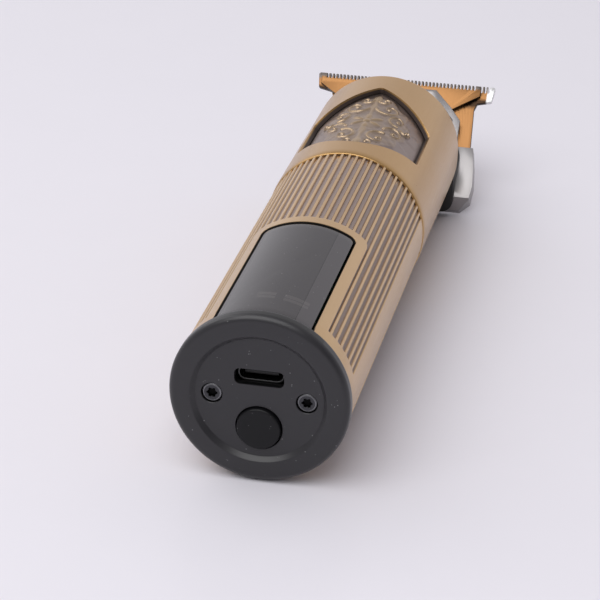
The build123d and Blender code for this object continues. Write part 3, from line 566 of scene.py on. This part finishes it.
def leaf_relief(x, y):
    """Height from 0 to 1 of an invented leaf ornament that mirrors left to right: a six-lobed flower on a
    boss, a stem above and below it, and large curling leaves on both sides."""
    ax = np.abs(x)
    r = np.hypot(x, y)
    turn = np.arctan2(ax, y)
    edge = np.hypot(x / 11.0, y / 15.6) * (1 + 0.05 * np.cos(12 * turn))
    height = (0.34 + 0.07 * np.cos(2.4 * y + 1.2 * ax) * np.cos(2.0 * ax)) * smooth_step(1.0, 0.9, edge)
    height = np.maximum(height, 0.55 * ridge(r, 5.0))
    lobes = 3.6 + 0.75 * np.cos(6 * turn)
    height = np.maximum(height, (0.62 + 0.3 * np.cos(6 * turn)) * ridge(r - 0.55 * lobes, 0.5 * lobes))
    height = np.maximum(height, ridge(r, 1.25))
    for centre, size, start, turns, side in SCROLLS:
        height = np.maximum(height, scroll(ax, y, centre, size, start, turns, side))
    stem = ridge(ax - 0.22 * np.sin(y * 0.9), 0.85) * 0.7 * (np.abs(y) < 14.5)
    height = np.maximum(height, stem)
    for tip in (13.2, -12.6):
        height = np.maximum(height, 0.9 * ridge(np.hypot(ax, (y - tip) * 0.55), 1.5))
    return height


def rays(x, y):
    """Low flat rays fanned out from the middle of the plate: a rounded square wave of the angle."""
    turn = np.arctan2(x, y)
    wave = np.clip(3 * np.sin(turn * 9), -1, 1)
    return 0.06 * wave * smooth_step(5, 8, np.hypot(x, y))


def make_emblem():
    """Curved plate in the shield opening: its radius follows the body, plus the height of the ornament and of
    the rays on the ground; the underside closes it."""
    half = EMBLEM_HALF + 1.2 * MM
    start = plate_low.y
    end = plate_high.y
    across = np.linspace(-half, half, 250)
    along_y = np.linspace(start, end, 300)
    a, y = np.meshgrid(across, along_y)
    x_mm = a / MM
    y_mm = (y - EMBLEM_MIDDLE) / MM
    ornament = leaf_relief(x_mm, y_mm)
    shield = shield_mask(a, y)
    height = (np.minimum(ornament, 1.1) * RELIEF_HEIGHT + rays(x_mm, y_mm)) * MM * shield
    radius = PLATE_RADIUS + height
    top = grid(on_body(a / BARREL, y, radius))
    edge_a, edge_y, edge_r = (
        np.concatenate([v[0, :], v[1:, -1], v[-1, -2::-1], v[-2:0:-1, 0]]) for v in (a, y, radius)
    )
    centre_y = (start + end) / 2
    rings = [on_body(edge_a / BARREL, edge_y, edge_r)]
    for keep in (1.0, 0.8, 0.6, 0.4, 0.2, 0.0):
        ring_y = centre_y + (edge_y - centre_y) * keep
        rings.append(on_body(edge_a * keep / BARREL, ring_y, PLATE_RADIUS - PLATE_THICKNESS))
    back = grid(np.array(rings), wrap_columns=True)
    marks = np.concatenate([(ornament * shield).ravel(), np.zeros(len(rings) * len(edge_a))])
    return make_piece("emblem_relief", [top, back], sharp=60, marks=marks)


def shield_mask(a, y):
    """1 well inside the shield opening, falling to 0 just inside its straight edges."""
    share = np.abs(a) / EMBLEM_HALF
    bottom = y - (EMBLEM_REAR + (EMBLEM_LOW - EMBLEM_REAR) * share)
    top = (EMBLEM_APEX + (EMBLEM_HIGH - EMBLEM_APEX) * share) - y
    side = EMBLEM_HALF - np.abs(a)
    room = np.minimum(np.minimum(bottom, top), side)
    return smooth_step(0.5 * MM, 1.6 * MM, room)


# ------------------------------------------------------------ pieces refined from the frame
def refined(node, name, bevel, sharp=35, limit=30):
    """Copy of a frame node's mesh with its points merged, its flats made whole and its edges rounded. The
    face attribute 'wall' is 1 on faces that stand across the blade plane, where the coated blade finish
    paints shade."""
    mesh = frame["nodes"][node].data.copy()
    mesh.name = name
    work = bmesh.new()
    work.from_mesh(mesh)
    bmesh.ops.remove_doubles(work, verts=work.verts, dist=2e-6)
    bmesh.ops.dissolve_limit(work, angle_limit=math.radians(0.5), verts=work.verts, edges=work.edges)
    work.to_mesh(mesh)
    work.free()
    mesh.materials.clear()
    piece = finish_mesh(name, mesh, sharp)
    round_off = piece.modifiers.new("edges", "BEVEL")
    round_off.width = bevel
    round_off.segments = 2
    round_off.limit_method = "ANGLE"
    round_off.angle_limit = math.radians(limit)
    round_off.use_clamp_overlap = True
    piece = baked(piece, sharp)
    normals = np.empty(len(piece.data.polygons) * 3, np.float32)
    piece.data.polygons.foreach_get("normal", normals)
    facing = np.abs(normals.reshape(-1, 3) @ BLADE_NORMAL)
    layer = piece.data.attributes.new("wall", "FLOAT", "FACE")
    layer.data.foreach_set("value", (facing < 0.6).astype(np.float32))
    return piece


# ------------------------------------------------------------ shader helpers
class Board:
    """Short ways to add and join nodes in one node tree."""

    def __init__(self, tree):
        self.tree = tree

    def add(self, kind, **values):
        node = self.tree.nodes.new(kind)
        for key, value in values.items():
            if hasattr(node, key) and key not in node.inputs:
                setattr(node, key, value)
            else:
                node.inputs[key].default_value = value
        return node

    def join(self, source, target):
        self.tree.links.new(source, target)

    def feed(self, slot, value):
        """A socket takes another's output, a number or a colour."""
        if hasattr(value, "links"):
            self.join(value, slot)
        else:
            slot.default_value = value

    def apart(self, place):
        """The X, Y and Z outputs of a place."""
        node = self.add("ShaderNodeSeparateXYZ")
        self.join(place, node.inputs["Vector"])
        return node.outputs

    def noise(self, place, scale, detail=3.0, rough=0.5):
        node = self.add("ShaderNodeTexNoise", Scale=scale, Detail=detail, Roughness=rough)
        self.join(place, node.inputs["Vector"])
        return node.outputs["Fac"]

    def stretch(self, place, scale):
        node = self.add("ShaderNodeMapping")
        node.inputs["Scale"].default_value = scale
        self.join(place, node.inputs["Vector"])
        return node.outputs["Vector"]

    def math(self, kind, one, two=0.0, three=0.0):
        node = self.add("ShaderNodeMath", operation=kind)
        for slot, value in zip(node.inputs, (one, two, three)):
            self.feed(slot, value)
        return node.outputs[0]

    def span(self, value, low, high, out_low, out_high):
        node = self.add("ShaderNodeMapRange")
        self.join(value, node.inputs["Value"])
        for key, number in (("From Min", low), ("From Max", high), ("To Min", out_low), ("To Max", out_high)):
            self.feed(node.inputs[key], number)
        return node.outputs["Result"]

    def mix(self, share, one, two):
        node = self.add("ShaderNodeMix", data_type="RGBA")
        self.feed(node.inputs["Factor"], share)
        for slot, value in ((node.inputs["A"], one), (node.inputs["B"], two)):
            self.feed(slot, rgba(value) if isinstance(value, tuple) else value)
        return node.outputs["Result"]


def rgba(color):
    """A colour with full opacity."""
    return (*color, 1.0)


def new_group(name, inputs, outputs):
    """Empty shader node group with named sockets: each is (name, kind, default)."""
    tree = bpy.data.node_groups.new(name, "ShaderNodeTree")
    for label, kind, value in inputs:
        socket = tree.interface.new_socket(label, in_out="INPUT", socket_type=kind)
        if value is not None:
            socket.default_value = value
    for label, kind in outputs:
        tree.interface.new_socket(label, in_out="OUTPUT", socket_type=kind)
    board = Board(tree)
    start = board.add("NodeGroupInput")
    end = board.add("NodeGroupOutput")
    return tree, board, start.outputs, end.inputs


FLOAT = "NodeSocketFloat"
COLOR = "NodeSocketColor"
VECTOR = "NodeSocketVector"


def surface_grain_group():
    """Grain: small bumps and patchy roughness from noise at one scale, plus soft colour drift."""
    tree, board, given, result = new_group(
        "surface_grain",
        [("Place", VECTOR, None), ("Color", COLOR, (0.5, 0.5, 0.5, 1)), ("Drift", FLOAT, 0.1),
         ("Scale", FLOAT, 900.0), ("Roughness", FLOAT, 0.4), ("Patch", FLOAT, 0.1)],
        [("Color", COLOR), ("Roughness", FLOAT), ("Height", FLOAT)],
    )
    fine = board.add("ShaderNodeTexNoise", Detail=4.0)
    board.join(given["Place"], fine.inputs["Vector"])
    board.join(given["Scale"], fine.inputs["Scale"])
    broad = board.noise(given["Place"], 60.0, 4.0)
    drift = board.math("MULTIPLY", board.math("SUBTRACT", broad, 0.5), given["Drift"])
    shade = board.add("ShaderNodeHueSaturation")
    board.join(given["Color"], shade.inputs["Color"])
    board.join(board.math("ADD", drift, 1.0), shade.inputs["Value"])
    board.join(shade.outputs["Color"], result["Color"])
    patch = board.math("MULTIPLY", board.math("SUBTRACT", broad, 0.5), given["Patch"])
    small = board.math("MULTIPLY", board.math("SUBTRACT", fine.outputs["Fac"], 0.5), 0.5)
    small = board.math("MULTIPLY", small, given["Patch"])
    board.join(board.math("ADD", board.math("ADD", patch, small), given["Roughness"]), result["Roughness"])
    board.join(fine.outputs["Fac"], result["Height"])
    return tree


def dust_group():
    """Dust: sparse pale specks where a fine noise peaks, gathered in patches."""
    tree, board, given, result = new_group(
        "dust_specks",
        [("Place", VECTOR, None), ("Amount", FLOAT, 0.3), ("Scale", FLOAT, 1800.0)],
        [("Mask", FLOAT)],
    )
    cells = board.add("ShaderNodeTexVoronoi", feature="F1")
    board.join(given["Place"], cells.inputs["Vector"])
    board.join(given["Scale"], cells.inputs["Scale"])
    speck = board.span(cells.outputs["Distance"], 0.08, 0.2, 1.0, 0.0)
    picked = board.math("GREATER_THAN", board.noise(given["Place"], 620.0, 2.0), 0.635)
    mask = board.math("MULTIPLY", board.math("MULTIPLY", speck, picked), given["Amount"])
    board.join(mask, result["Mask"])
    return tree


def brushed_group():
    """Brushed lines: noise drawn out along one direction, as height and roughness drift."""
    tree, board, given, result = new_group(
        "brushed_lines",
        [("Place", VECTOR, None), ("Roughness", FLOAT, 0.3), ("Streak", FLOAT, 0.1)],
        [("Roughness", FLOAT), ("Height", FLOAT)],
    )
    lines = board.noise(given["Place"], 1.0, 6.0, 0.6)
    streak = board.math("MULTIPLY", board.math("SUBTRACT", lines, 0.5), given["Streak"])
    board.join(board.math("ADD", given["Roughness"], streak), result["Roughness"])
    board.join(lines, result["Height"])
    return tree


GROUPS = {}


def effect(board, name, **values):
    """One of the shared effects placed in a material, with its own values."""
    makers = {"surface_grain": surface_grain_group, "dust_specks": dust_group, "brushed_lines": brushed_group}
    if name not in GROUPS:
        GROUPS[name] = makers[name]()
    node = board.add("ShaderNodeGroup", node_tree=GROUPS[name])
    for key, value in values.items():
        board.feed(node.inputs[key], value)
    return node.outputs


def new_material(name, **sockets):
    """Material with a Principled shader whose plain numbers are set on its own sockets."""
    material = bpy.data.materials.new(name)
    material.use_nodes = True
    board = Board(material.node_tree)
    shader = next(n for n in material.node_tree.nodes if n.type == "BSDF_PRINCIPLED")
    for key, value in sockets.items():
        shader.inputs[key.replace("_", " ")].default_value = value
    place = board.add("ShaderNodeTexCoord").outputs["Object"]
    return material, board, shader.inputs, place


def add_bump(board, shader, height, strength, distance):
    """Bump from a height, joined to the shader's normal."""
    bump = board.add("ShaderNodeBump", Strength=strength, Distance=distance)
    board.join(height, bump.inputs["Height"])
    board.join(bump.outputs["Normal"], shader["Normal"])


def antique_gold(name, base, groove_and_shade_color, recess=False, rough=0.34, coat=0.2):
    """Satin plated metal under a thin lacquer, with faint lengthwise brushing. What lies below the skin is
    darker and duller: the barrel's depth is its recess attribute, which darkens the grooves and, as painted
    shade, the walls below the skin, with black painted shade on the wall round the window; the head's depth
    is the distance from the body's axis, and its darkening is painted shade on the opening's walls and
    inside."""
    material, board, shader, place = new_material(name, Metallic=1.0, Coat_Weight=coat, Coat_Roughness=0.25)
    grain = effect(board, "surface_grain", Place=place, Color=rgba(base), Drift=0.16, Scale=1400.0,
                   Roughness=rough, Patch=0.12)
    lines = effect(board, "brushed_lines", Place=board.stretch(place, (2600.0, 90.0, 2600.0)),
                   Roughness=grain["Roughness"], Streak=0.10)
    split = board.apart(place)
    rise = board.math("SUBTRACT", split["Z"], AXIS)
    out = board.math("SQRT", board.math("ADD", board.math("MULTIPLY", rise, rise),
                                        board.math("MULTIPLY", split["X"], split["X"])))
    if recess:
        # the recess attribute darkens the grooves, and as painted shade the walls below the skin
        mark = board.add("ShaderNodeAttribute", attribute_name="recess").outputs["Fac"]
        dark = board.span(mark, 0.25, 0.8, 0.0, 1.0)
        # painted shade: the window's walls near black
        wall = board.span(out, BARREL - 0.13 * MM, BARREL - 0.05 * MM, 1.0, 0.0)
        for limit in (board.math("LESS_THAN", board.math("ABSOLUTE", split["X"]), WINDOW_HALF),
                      board.math("LESS_THAN", split["Y"], WINDOW_END + 0.06 * MM),
                      board.math("GREATER_THAN", split["Z"], AXIS)):
            wall = board.math("MULTIPLY", wall, limit)
        color = board.mix(wall, board.mix(dark, grain["Color"], groove_and_shade_color), (0.006, 0.005, 0.005))
        dark = board.math("MAXIMUM", dark, wall)
    else:
        # painted shade on the walls of the shield opening and inside the shell
        dark = board.span(out, HEAD_FRONT - 0.45 * MM, HEAD_FRONT - 0.12 * MM, 1.0, 0.0)
        color = board.mix(dark, grain["Color"], groove_and_shade_color)
    rough_out = board.math("ADD", lines["Roughness"], board.math("MULTIPLY", dark, 0.2))
    board.join(board.span(dark, 0.0, 1.0, 1.0, 0.4), shader["Metallic"])
    board.join(board.span(dark, 0.0, 1.0, coat, coat * 0.15), shader["Coat Weight"])
    board.join(color, shader["Base Color"])
    board.join(rough_out, shader["Roughness"])
    add_bump(board, shader, lines["Height"], 0.05, 0.00002)
    return material


def moulded_plastic(name, color, rough, bump=0.2, dust=0.0, coat=0.0, shine=0.5, wells=None):
    """Moulded plastic: fine grain, patchy gloss and a little dust. wells is the Y of a face whose bores get
    painted shade, black inside."""
    material, board, shader, place = new_material(
        name, IOR=1.5, Coat_Weight=coat, Coat_Roughness=0.08, Specular_IOR_Level=shine)
    grain = effect(board, "surface_grain", Place=place, Color=rgba(color), Drift=0.25, Scale=4200.0,
                   Roughness=rough, Patch=0.15)
    out = grain["Color"]
    if dust:
        specks = effect(board, "dust_specks", Place=place, Amount=dust, Scale=1500.0)["Mask"]
        out = board.mix(specks, out, (0.50, 0.50, 0.51))
    if wells is not None:
        split = board.apart(place)
        # painted shade: bores behind the face go black
        bore_shade = board.span(split["Y"], wells + 0.1 * MM, wells + 0.4 * MM, 0.0, 1.0)
        inner = board.math("LESS_THAN", board.math("ABSOLUTE", split["X"]), 12.2 * MM)
        out = board.mix(board.math("MULTIPLY", bore_shade, inner), out, (0.002, 0.002, 0.002))
    board.join(out, shader["Base Color"])
    board.join(grain["Roughness"], shader["Roughness"])
    add_bump(board, shader, grain["Height"], bump, 0.00003)
    return material


def screw_finish(name):
    """Blackened steel, lighter on the bevelled rim just behind the head's face, with painted shade, black, in
    its recess and down its sides.
    """
    material, board, shader, place = new_material(name, Metallic=1.0)
    split = board.apart(place)
    grain = effect(board, "surface_grain", Place=place, Color=rgba((0.065, 0.065, 0.07)), Drift=0.3,
                   Scale=3000.0, Roughness=0.36, Patch=0.2)
    face = CAP_Y + DISC_RECESS + SCREW_SINK
    bevel = board.math("COMPARE", split["Y"], face + 0.10 * MM, 0.09 * MM)
    color = board.mix(board.math("MULTIPLY", bevel, 0.8), grain["Color"], (0.24, 0.24, 0.25))
    # painted shade: black in the recess and down the sides
    bore_shade = board.span(split["Y"], face + 0.2 * MM, face + 0.4 * MM, 0.0, 1.0)
    color = board.mix(bore_shade, color, (0.006, 0.006, 0.006))
    board.join(color, shader["Base Color"])
    board.join(grain["Roughness"], shader["Roughness"])
    add_bump(board, shader, grain["Height"], 0.1, 0.00002)
    return material


def ground_steel(name, color, rough, streak=0.14):
    """Ground or polished metal with fine lines along one direction."""
    material, board, shader, place = new_material(name, Metallic=1.0)
    grain = effect(board, "surface_grain", Place=place, Color=rgba(color), Drift=0.12, Scale=1200.0,
                   Roughness=rough, Patch=0.06)
    lines = effect(board, "brushed_lines", Place=board.stretch(place, BRUSH_STRETCH),
                   Roughness=grain["Roughness"], Streak=streak)
    board.join(grain["Color"], shader["Base Color"])
    board.join(lines["Roughness"], shader["Roughness"])
    add_bump(board, shader, lines["Height"], 0.06, 0.00002)
    return material


def smoked_window(name):
    """Glossy smoked window: nearly black and glossy, with a painted reflection (a paler strip on the +X side
    and a fine dark line along its edge), faint unlit bars and a little dust."""
    material, board, shader, place = new_material(name, IOR=1.52)
    split = board.apart(place)
    grain = effect(board, "surface_grain", Place=place, Color=rgba((0.030, 0.026, 0.028)), Drift=0.2,
                   Scale=500.0, Roughness=0.16, Patch=0.05)
    # painted reflection: a paler strip beyond the edge and a fine dark line along it
    beside = board.math("GREATER_THAN", split["X"], REFLECTION_EDGE)
    color = board.mix(board.math("MULTIPLY", beside, 0.5), grain["Color"], (0.070, 0.062, 0.066))
    line = board.math("COMPARE", split["X"], REFLECTION_EDGE, 0.07 * MM)
    color = board.mix(board.math("MULTIPLY", line, 0.9), color, (0.004, 0.004, 0.004))
    specks = effect(board, "dust_specks", Place=place, Amount=0.25, Scale=1500.0)["Mask"]
    color = board.mix(specks, color, (0.5, 0.5, 0.5))
    color = board.mix(board.math("MULTIPLY", bars_mask(board, place), 0.08), color, (0.32, 0.29, 0.27))
    board.join(color, shader["Base Color"])
    board.join(grain["Roughness"], shader["Roughness"])
    return material


def coated_blade(name, band=0.0):
    """Gold coating on steel, ground back to dark steel along the teeth, with a painted highlight in bright
    steel colour at the bar's +X end, painted shade on its edge walls and a painted shadow band of a given
    strength below the moving blade's edge. The distance down the blade plane from the cutting edge comes from
    the sum of Y and Z."""
    material, board, shader, place = new_material(name, Metallic=1.0)
    split = board.apart(place)
    fall = board.math("SUBTRACT", BLADE_EDGE, board.math("ADD", split["Y"], split["Z"]))
    down = board.math("MULTIPLY", fall, math.sqrt(0.5))
    grain = effect(board, "surface_grain", Place=place, Color=rgba((0.30, 0.150, 0.060)), Drift=0.14,
                   Scale=1200.0, Roughness=0.34, Patch=0.08)
    lines = effect(board, "brushed_lines", Place=board.stretch(place, BRUSH_STRETCH),
                   Roughness=grain["Roughness"], Streak=0.14)
    teeth = board.span(down, 1.5 * MM, 2.0 * MM, 1.0, 0.0)
    color = board.mix(teeth, grain["Color"], (0.20, 0.17, 0.15))
    # painted shade: faces that stand across the blade plane are darkened
    wall = board.add("ShaderNodeAttribute", attribute_name="wall").outputs["Fac"]
    color = board.mix(wall, color, PAINTED_SHADE)
    # painted shadow: a dark band below the moving blade's edge, at the given strength
    if band:
        shade = board.math("MULTIPLY", board.span(down, 3.4 * MM, 4.2 * MM, 0.0, 1.0),
                           board.span(down, 5.6 * MM, 6.8 * MM, 1.0, 0.0))
        color = board.mix(board.math("MULTIPLY", shade, band), color, PAINTED_SHADE)
    # painted highlight: bright steel colour at the bar's +X end
    ends = board.span(split["X"], BLADE_END - 2.0 * MM, BLADE_END - 1.6 * MM, 0.0, 1.0)
    color = board.mix(ends, color, (0.72, 0.72, 0.72))
    board.join(color, shader["Base Color"])
    board.join(lines["Roughness"], shader["Roughness"])
    add_bump(board, shader, lines["Height"], 0.06, 0.00002)
    return material


def bars_mask(board, place):
    """Mask of unlit display bars: two pairs of short blocks across the window, near its cap end."""
    split = board.apart(place)
    total = None
    for y, half_y in ((11.6, 0.6), (10.2, 0.5)):
        for x, half_x in ((-1.0, 1.8), (4.9, 2.4)):
            near_x = board.math("COMPARE", split["X"], x * MM, half_x * MM)
            near_y = board.math("COMPARE", split["Y"], CAP_Y + y * MM, half_y * MM)
            both = board.math("MULTIPLY", near_x, near_y)
            total = both if total is None else board.math("MAXIMUM", total, both)
    return total


def cast_bronze(name):
    """Cast bronze: dark in the ground, rubbed to brass on the ornament's high points."""
    material, board, shader, place = new_material(name, Metallic=1.0)
    mark = board.add("ShaderNodeAttribute", attribute_name="recess").outputs["Fac"]
    drift = board.math("MULTIPLY", board.math("SUBTRACT", board.noise(place, 500.0, 5.0), 0.5), 0.35)
    rubbed = board.span(board.math("ADD", mark, drift), 0.15, 0.80, 0.0, 1.0)
    grain = effect(board, "surface_grain", Place=place, Color=rgba((0.29, 0.235, 0.215)), Drift=0.3,
                   Scale=2600.0, Roughness=0.40, Patch=0.2)
    color = board.mix(board.math("MULTIPLY", rubbed, 0.8), grain["Color"], (0.46, 0.33, 0.19))
    board.join(color, shader["Base Color"])
    rough = board.math("SUBTRACT", grain["Roughness"], board.math("MULTIPLY", rubbed, 0.03))
    board.join(rough, shader["Roughness"])
    add_bump(board, shader, grain["Height"], 0.25, 0.00004)
    return material


# ------------------------------------------------------------ stage
def make_stage():
    """Pale floor, a soft box overhead, one at the left, and a room that is brightest low at the back."""
    size = 4.0
    steps = 9
    x, y = np.meshgrid(np.linspace(-size, size, steps), np.linspace(-size, size, steps))
    points = np.stack([x, y, np.full_like(x, FLOOR_DROP)], -1)
    floor = make_piece("floor", [grid(points)])
    if floor.data.polygons[0].normal.z < 0:
        floor.data.flip_normals()
    material, board, shader, place = new_material("floor_paper", IOR=1.4, Specular_IOR_Level=0.3)
    grain = effect(board, "surface_grain", Place=place, Color=rgba(FLOOR_COLOR), Drift=0.02, Scale=300.0,
                   Roughness=0.34, Patch=0.05)
    board.join(grain["Color"], shader["Base Color"])
    board.join(grain["Roughness"], shader["Roughness"])
    floor.data.materials.append(material)

    add_light("softbox_top", (-0.20, -0.52, 0.95), (0, 0, 0), 1.15, 1.0, 8.8)
    add_light("softbox_left", (-0.85, 0.35, 0.75), (0, 0, 0), 0.7, 0.7, 1.9)
    make_room()

    lens = bpy.data.cameras.new("camera")
    lens.lens = CAMERA_LENS
    lens.sensor_width = 36
    lens.clip_start = 0.01
    camera = bpy.data.objects.new("camera", lens)
    camera.location = CAMERA_PLACE
    camera.rotation_euler = [math.radians(a) for a in CAMERA_TURN]
    bpy.context.scene.collection.objects.link(camera)
    bpy.context.scene.camera = camera
    bpy.context.scene.view_settings.view_transform = "Standard"
    bpy.context.scene.view_settings.look = "None"


def make_room():
    """Room light by direction: a plain level, more towards the back and less towards the front."""
    world = bpy.data.worlds.new("room")
    bpy.context.scene.world = world
    world.use_nodes = True
    sky = Board(world.node_tree)
    back = next(n for n in world.node_tree.nodes if n.type == "BACKGROUND")
    split = sky.apart(sky.add("ShaderNodeTexCoord").outputs["Generated"])
    behind = sky.span(split["Y"], -0.5, 0.9, 0.0, 1.0)
    low = sky.span(split["Z"], 0.2, 0.9, 1.0, 0.45)
    leftward = sky.span(split["X"], -0.6, 0.3, 1.0, 0.85)
    level = sky.math("MULTIPLY", sky.math("MULTIPLY", behind, low), leftward)
    dim = sky.math("MULTIPLY", sky.span(split["X"], 0.1, 0.6, 0.0, 1.0),
                   sky.span(split["Y"], -0.3, 0.3, 1.0, 0.0))
    front = sky.math("MULTIPLY", sky.span(dim, 0.0, 1.0, 1.0, ROOM_RIGHT), ROOM_FRONT)
    strength = sky.math("ADD", sky.math("MULTIPLY", level, ROOM_BACK), front)
    back.inputs["Color"].default_value = (*ROOM_COLOR, 1)
    sky.join(strength, back.inputs["Strength"])


def add_light(name, place, target, width, depth, power):
    """Rectangular soft light aimed at a point."""
    lamp = bpy.data.lights.new(name, "AREA")
    lamp.shape = "RECTANGLE"
    lamp.size = width
    lamp.size_y = depth
    lamp.energy = power
    light = bpy.data.objects.new(name, lamp)
    light.location = place
    aim = Vector(target) - Vector(place)
    light.rotation_euler = aim.to_track_quat("-Z", "Y").to_euler()
    bpy.context.scene.collection.objects.link(light)


# ------------------------------------------------------------ assembly
def place_piece(piece, body, nodes, material):
    """The piece rides on its body, stands for its nodes and takes its material."""
    piece.data.materials.clear()
    piece.data.materials.append(material)
    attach(piece, body)
    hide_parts(*nodes)


gold = antique_gold("antique_gold", (0.57, 0.380, 0.195), (0.33, 0.26, 0.235), recess=True, coat=0.4)
# the second colour is painted shade for the shield opening's walls and the shell's inside
gold_head = antique_gold(
    "antique_gold_smooth", (0.46, 0.275, 0.105), (0.05, 0.035, 0.03), rough=0.31, coat=0.28)
cap_plastic = moulded_plastic("cap_plastic", (0.021, 0.020, 0.023), 0.34, dust=0.4, wells=CAP_Y + DISC_RECESS)
button_plastic = moulded_plastic(
    "button_plastic", (0.005, 0.005, 0.006), 0.36, bump=0.05, dust=0.3, shine=0.25)
dark_plastic = moulded_plastic("dark_plastic", (0.012, 0.012, 0.012), 0.45)
grey_plastic = moulded_plastic("grey_plastic", (0.06, 0.06, 0.065), 0.5)
rubber_black = moulded_plastic("soft_rubber", (0.01, 0.01, 0.01), 0.7)
circuit_green = moulded_plastic("circuit_green", (0.01, 0.12, 0.05), 0.35, bump=0.05, coat=0.4)
cell_sleeve = moulded_plastic("cell_sleeve", (0.02, 0.07, 0.28), 0.3, bump=0.05, coat=0.3)
red_wire = moulded_plastic("red_wire", (0.40, 0.01, 0.01), 0.45, bump=0.05)
window_gloss = smoked_window("smoked_window")
bronze = cast_bronze("cast_bronze")
screw_steel = ground_steel("blackened_steel", (0.07, 0.07, 0.075), 0.38)
plain_steel = ground_steel("plain_steel", (0.55, 0.55, 0.57), 0.30)
gold_steel = coated_blade("gold_coated_steel")
# the fixed blade's finish, with the painted shadow band
gold_steel_shadowed = coated_blade("gold_coated_steel_shadowed", band=0.92)
socket_metal = ground_steel("socket_metal", (0.10, 0.10, 0.10), 0.35)
bright_steel = ground_steel("bright_steel", (0.33, 0.315, 0.315), 0.33, streak=0.08)
magnet_dark = ground_steel("magnet_dark", (0.08, 0.08, 0.08), 0.5)
copper = ground_steel("winding_copper", (0.70, 0.28, 0.12), 0.35)

SLOT_MATERIALS = {
    "gold_shell": gold_head, "bronze_plate": bronze, "cap_black": cap_plastic, "button_black": button_plastic,
    "lens_smoke": window_gloss, "blade_gold": gold_steel, "blade_silver": bright_steel,
    "nose_black": dark_plastic, "screw_dark": screw_steel, "steel": plain_steel, "rubber": rubber_black,
    "board": circuit_green,
    "chip": dark_plastic, "cell_wrap": cell_sleeve, "carrier": grey_plastic, "magnet": magnet_dark,
    "winding": copper, "lead": red_wire,
}

OWN_MATERIALS = {"fixed_blade": gold_steel_shadowed, "usb_shell": socket_metal}

node_slots = {part["node"]: part["material_slot"] for part in frame["record"]["subparts"]}
for node, thing in frame["nodes"].items():
    thing.data.materials.clear()
    thing.data.materials.append(SLOT_MATERIALS[node_slots[node]])

place_piece(make_barrel(), "housing", ["barrel"], gold)
place_piece(make_lens(), "housing", ["display_lens"], window_gloss)
place_piece(make_cap(), "housing", ["end_cap"], cap_plastic)
place_piece(make_cap_screws(), "housing", ["cap_screws"], screw_finish("cap_screw_steel"))
place_piece(make_button(), "power_button", ["power_button"], button_plastic)
place_piece(make_shell(), "housing", ["head_shell"], gold_head)
place_piece(make_emblem(), "housing", ["emblem_plate"], bronze)

for node, name, body, bevel in (
    ("fixed_blade", "blade_outer", "housing", 0.10 * MM),
    ("moving_blade", "blade_inner", "cutter", 0.10 * MM),
    ("tension_plate", "blade_spring", "housing", 0.15 * MM),
    ("blade_base", "blade_mount", "housing", 0.5 * MM),
    ("blade_nose", "nose_block", "housing", 0.5 * MM),
    ("blade_screws", "blade_screw_pair", "housing", 0.15 * MM),
    ("cam_follower", "follower_fork", "cutter", 0.15 * MM),
    ("usb_shell", "socket_shell", "housing", 0.08 * MM),
    ("usb_tongue", "socket_tongue", "housing", 0.12 * MM),
):
    slot = node_slots[node]
    finish = OWN_MATERIALS.get(node, SLOT_MATERIALS[slot])
    place_piece(refined(node, name, bevel), body, [node], finish)

make_stage()

bpy.context.view_layer.update()
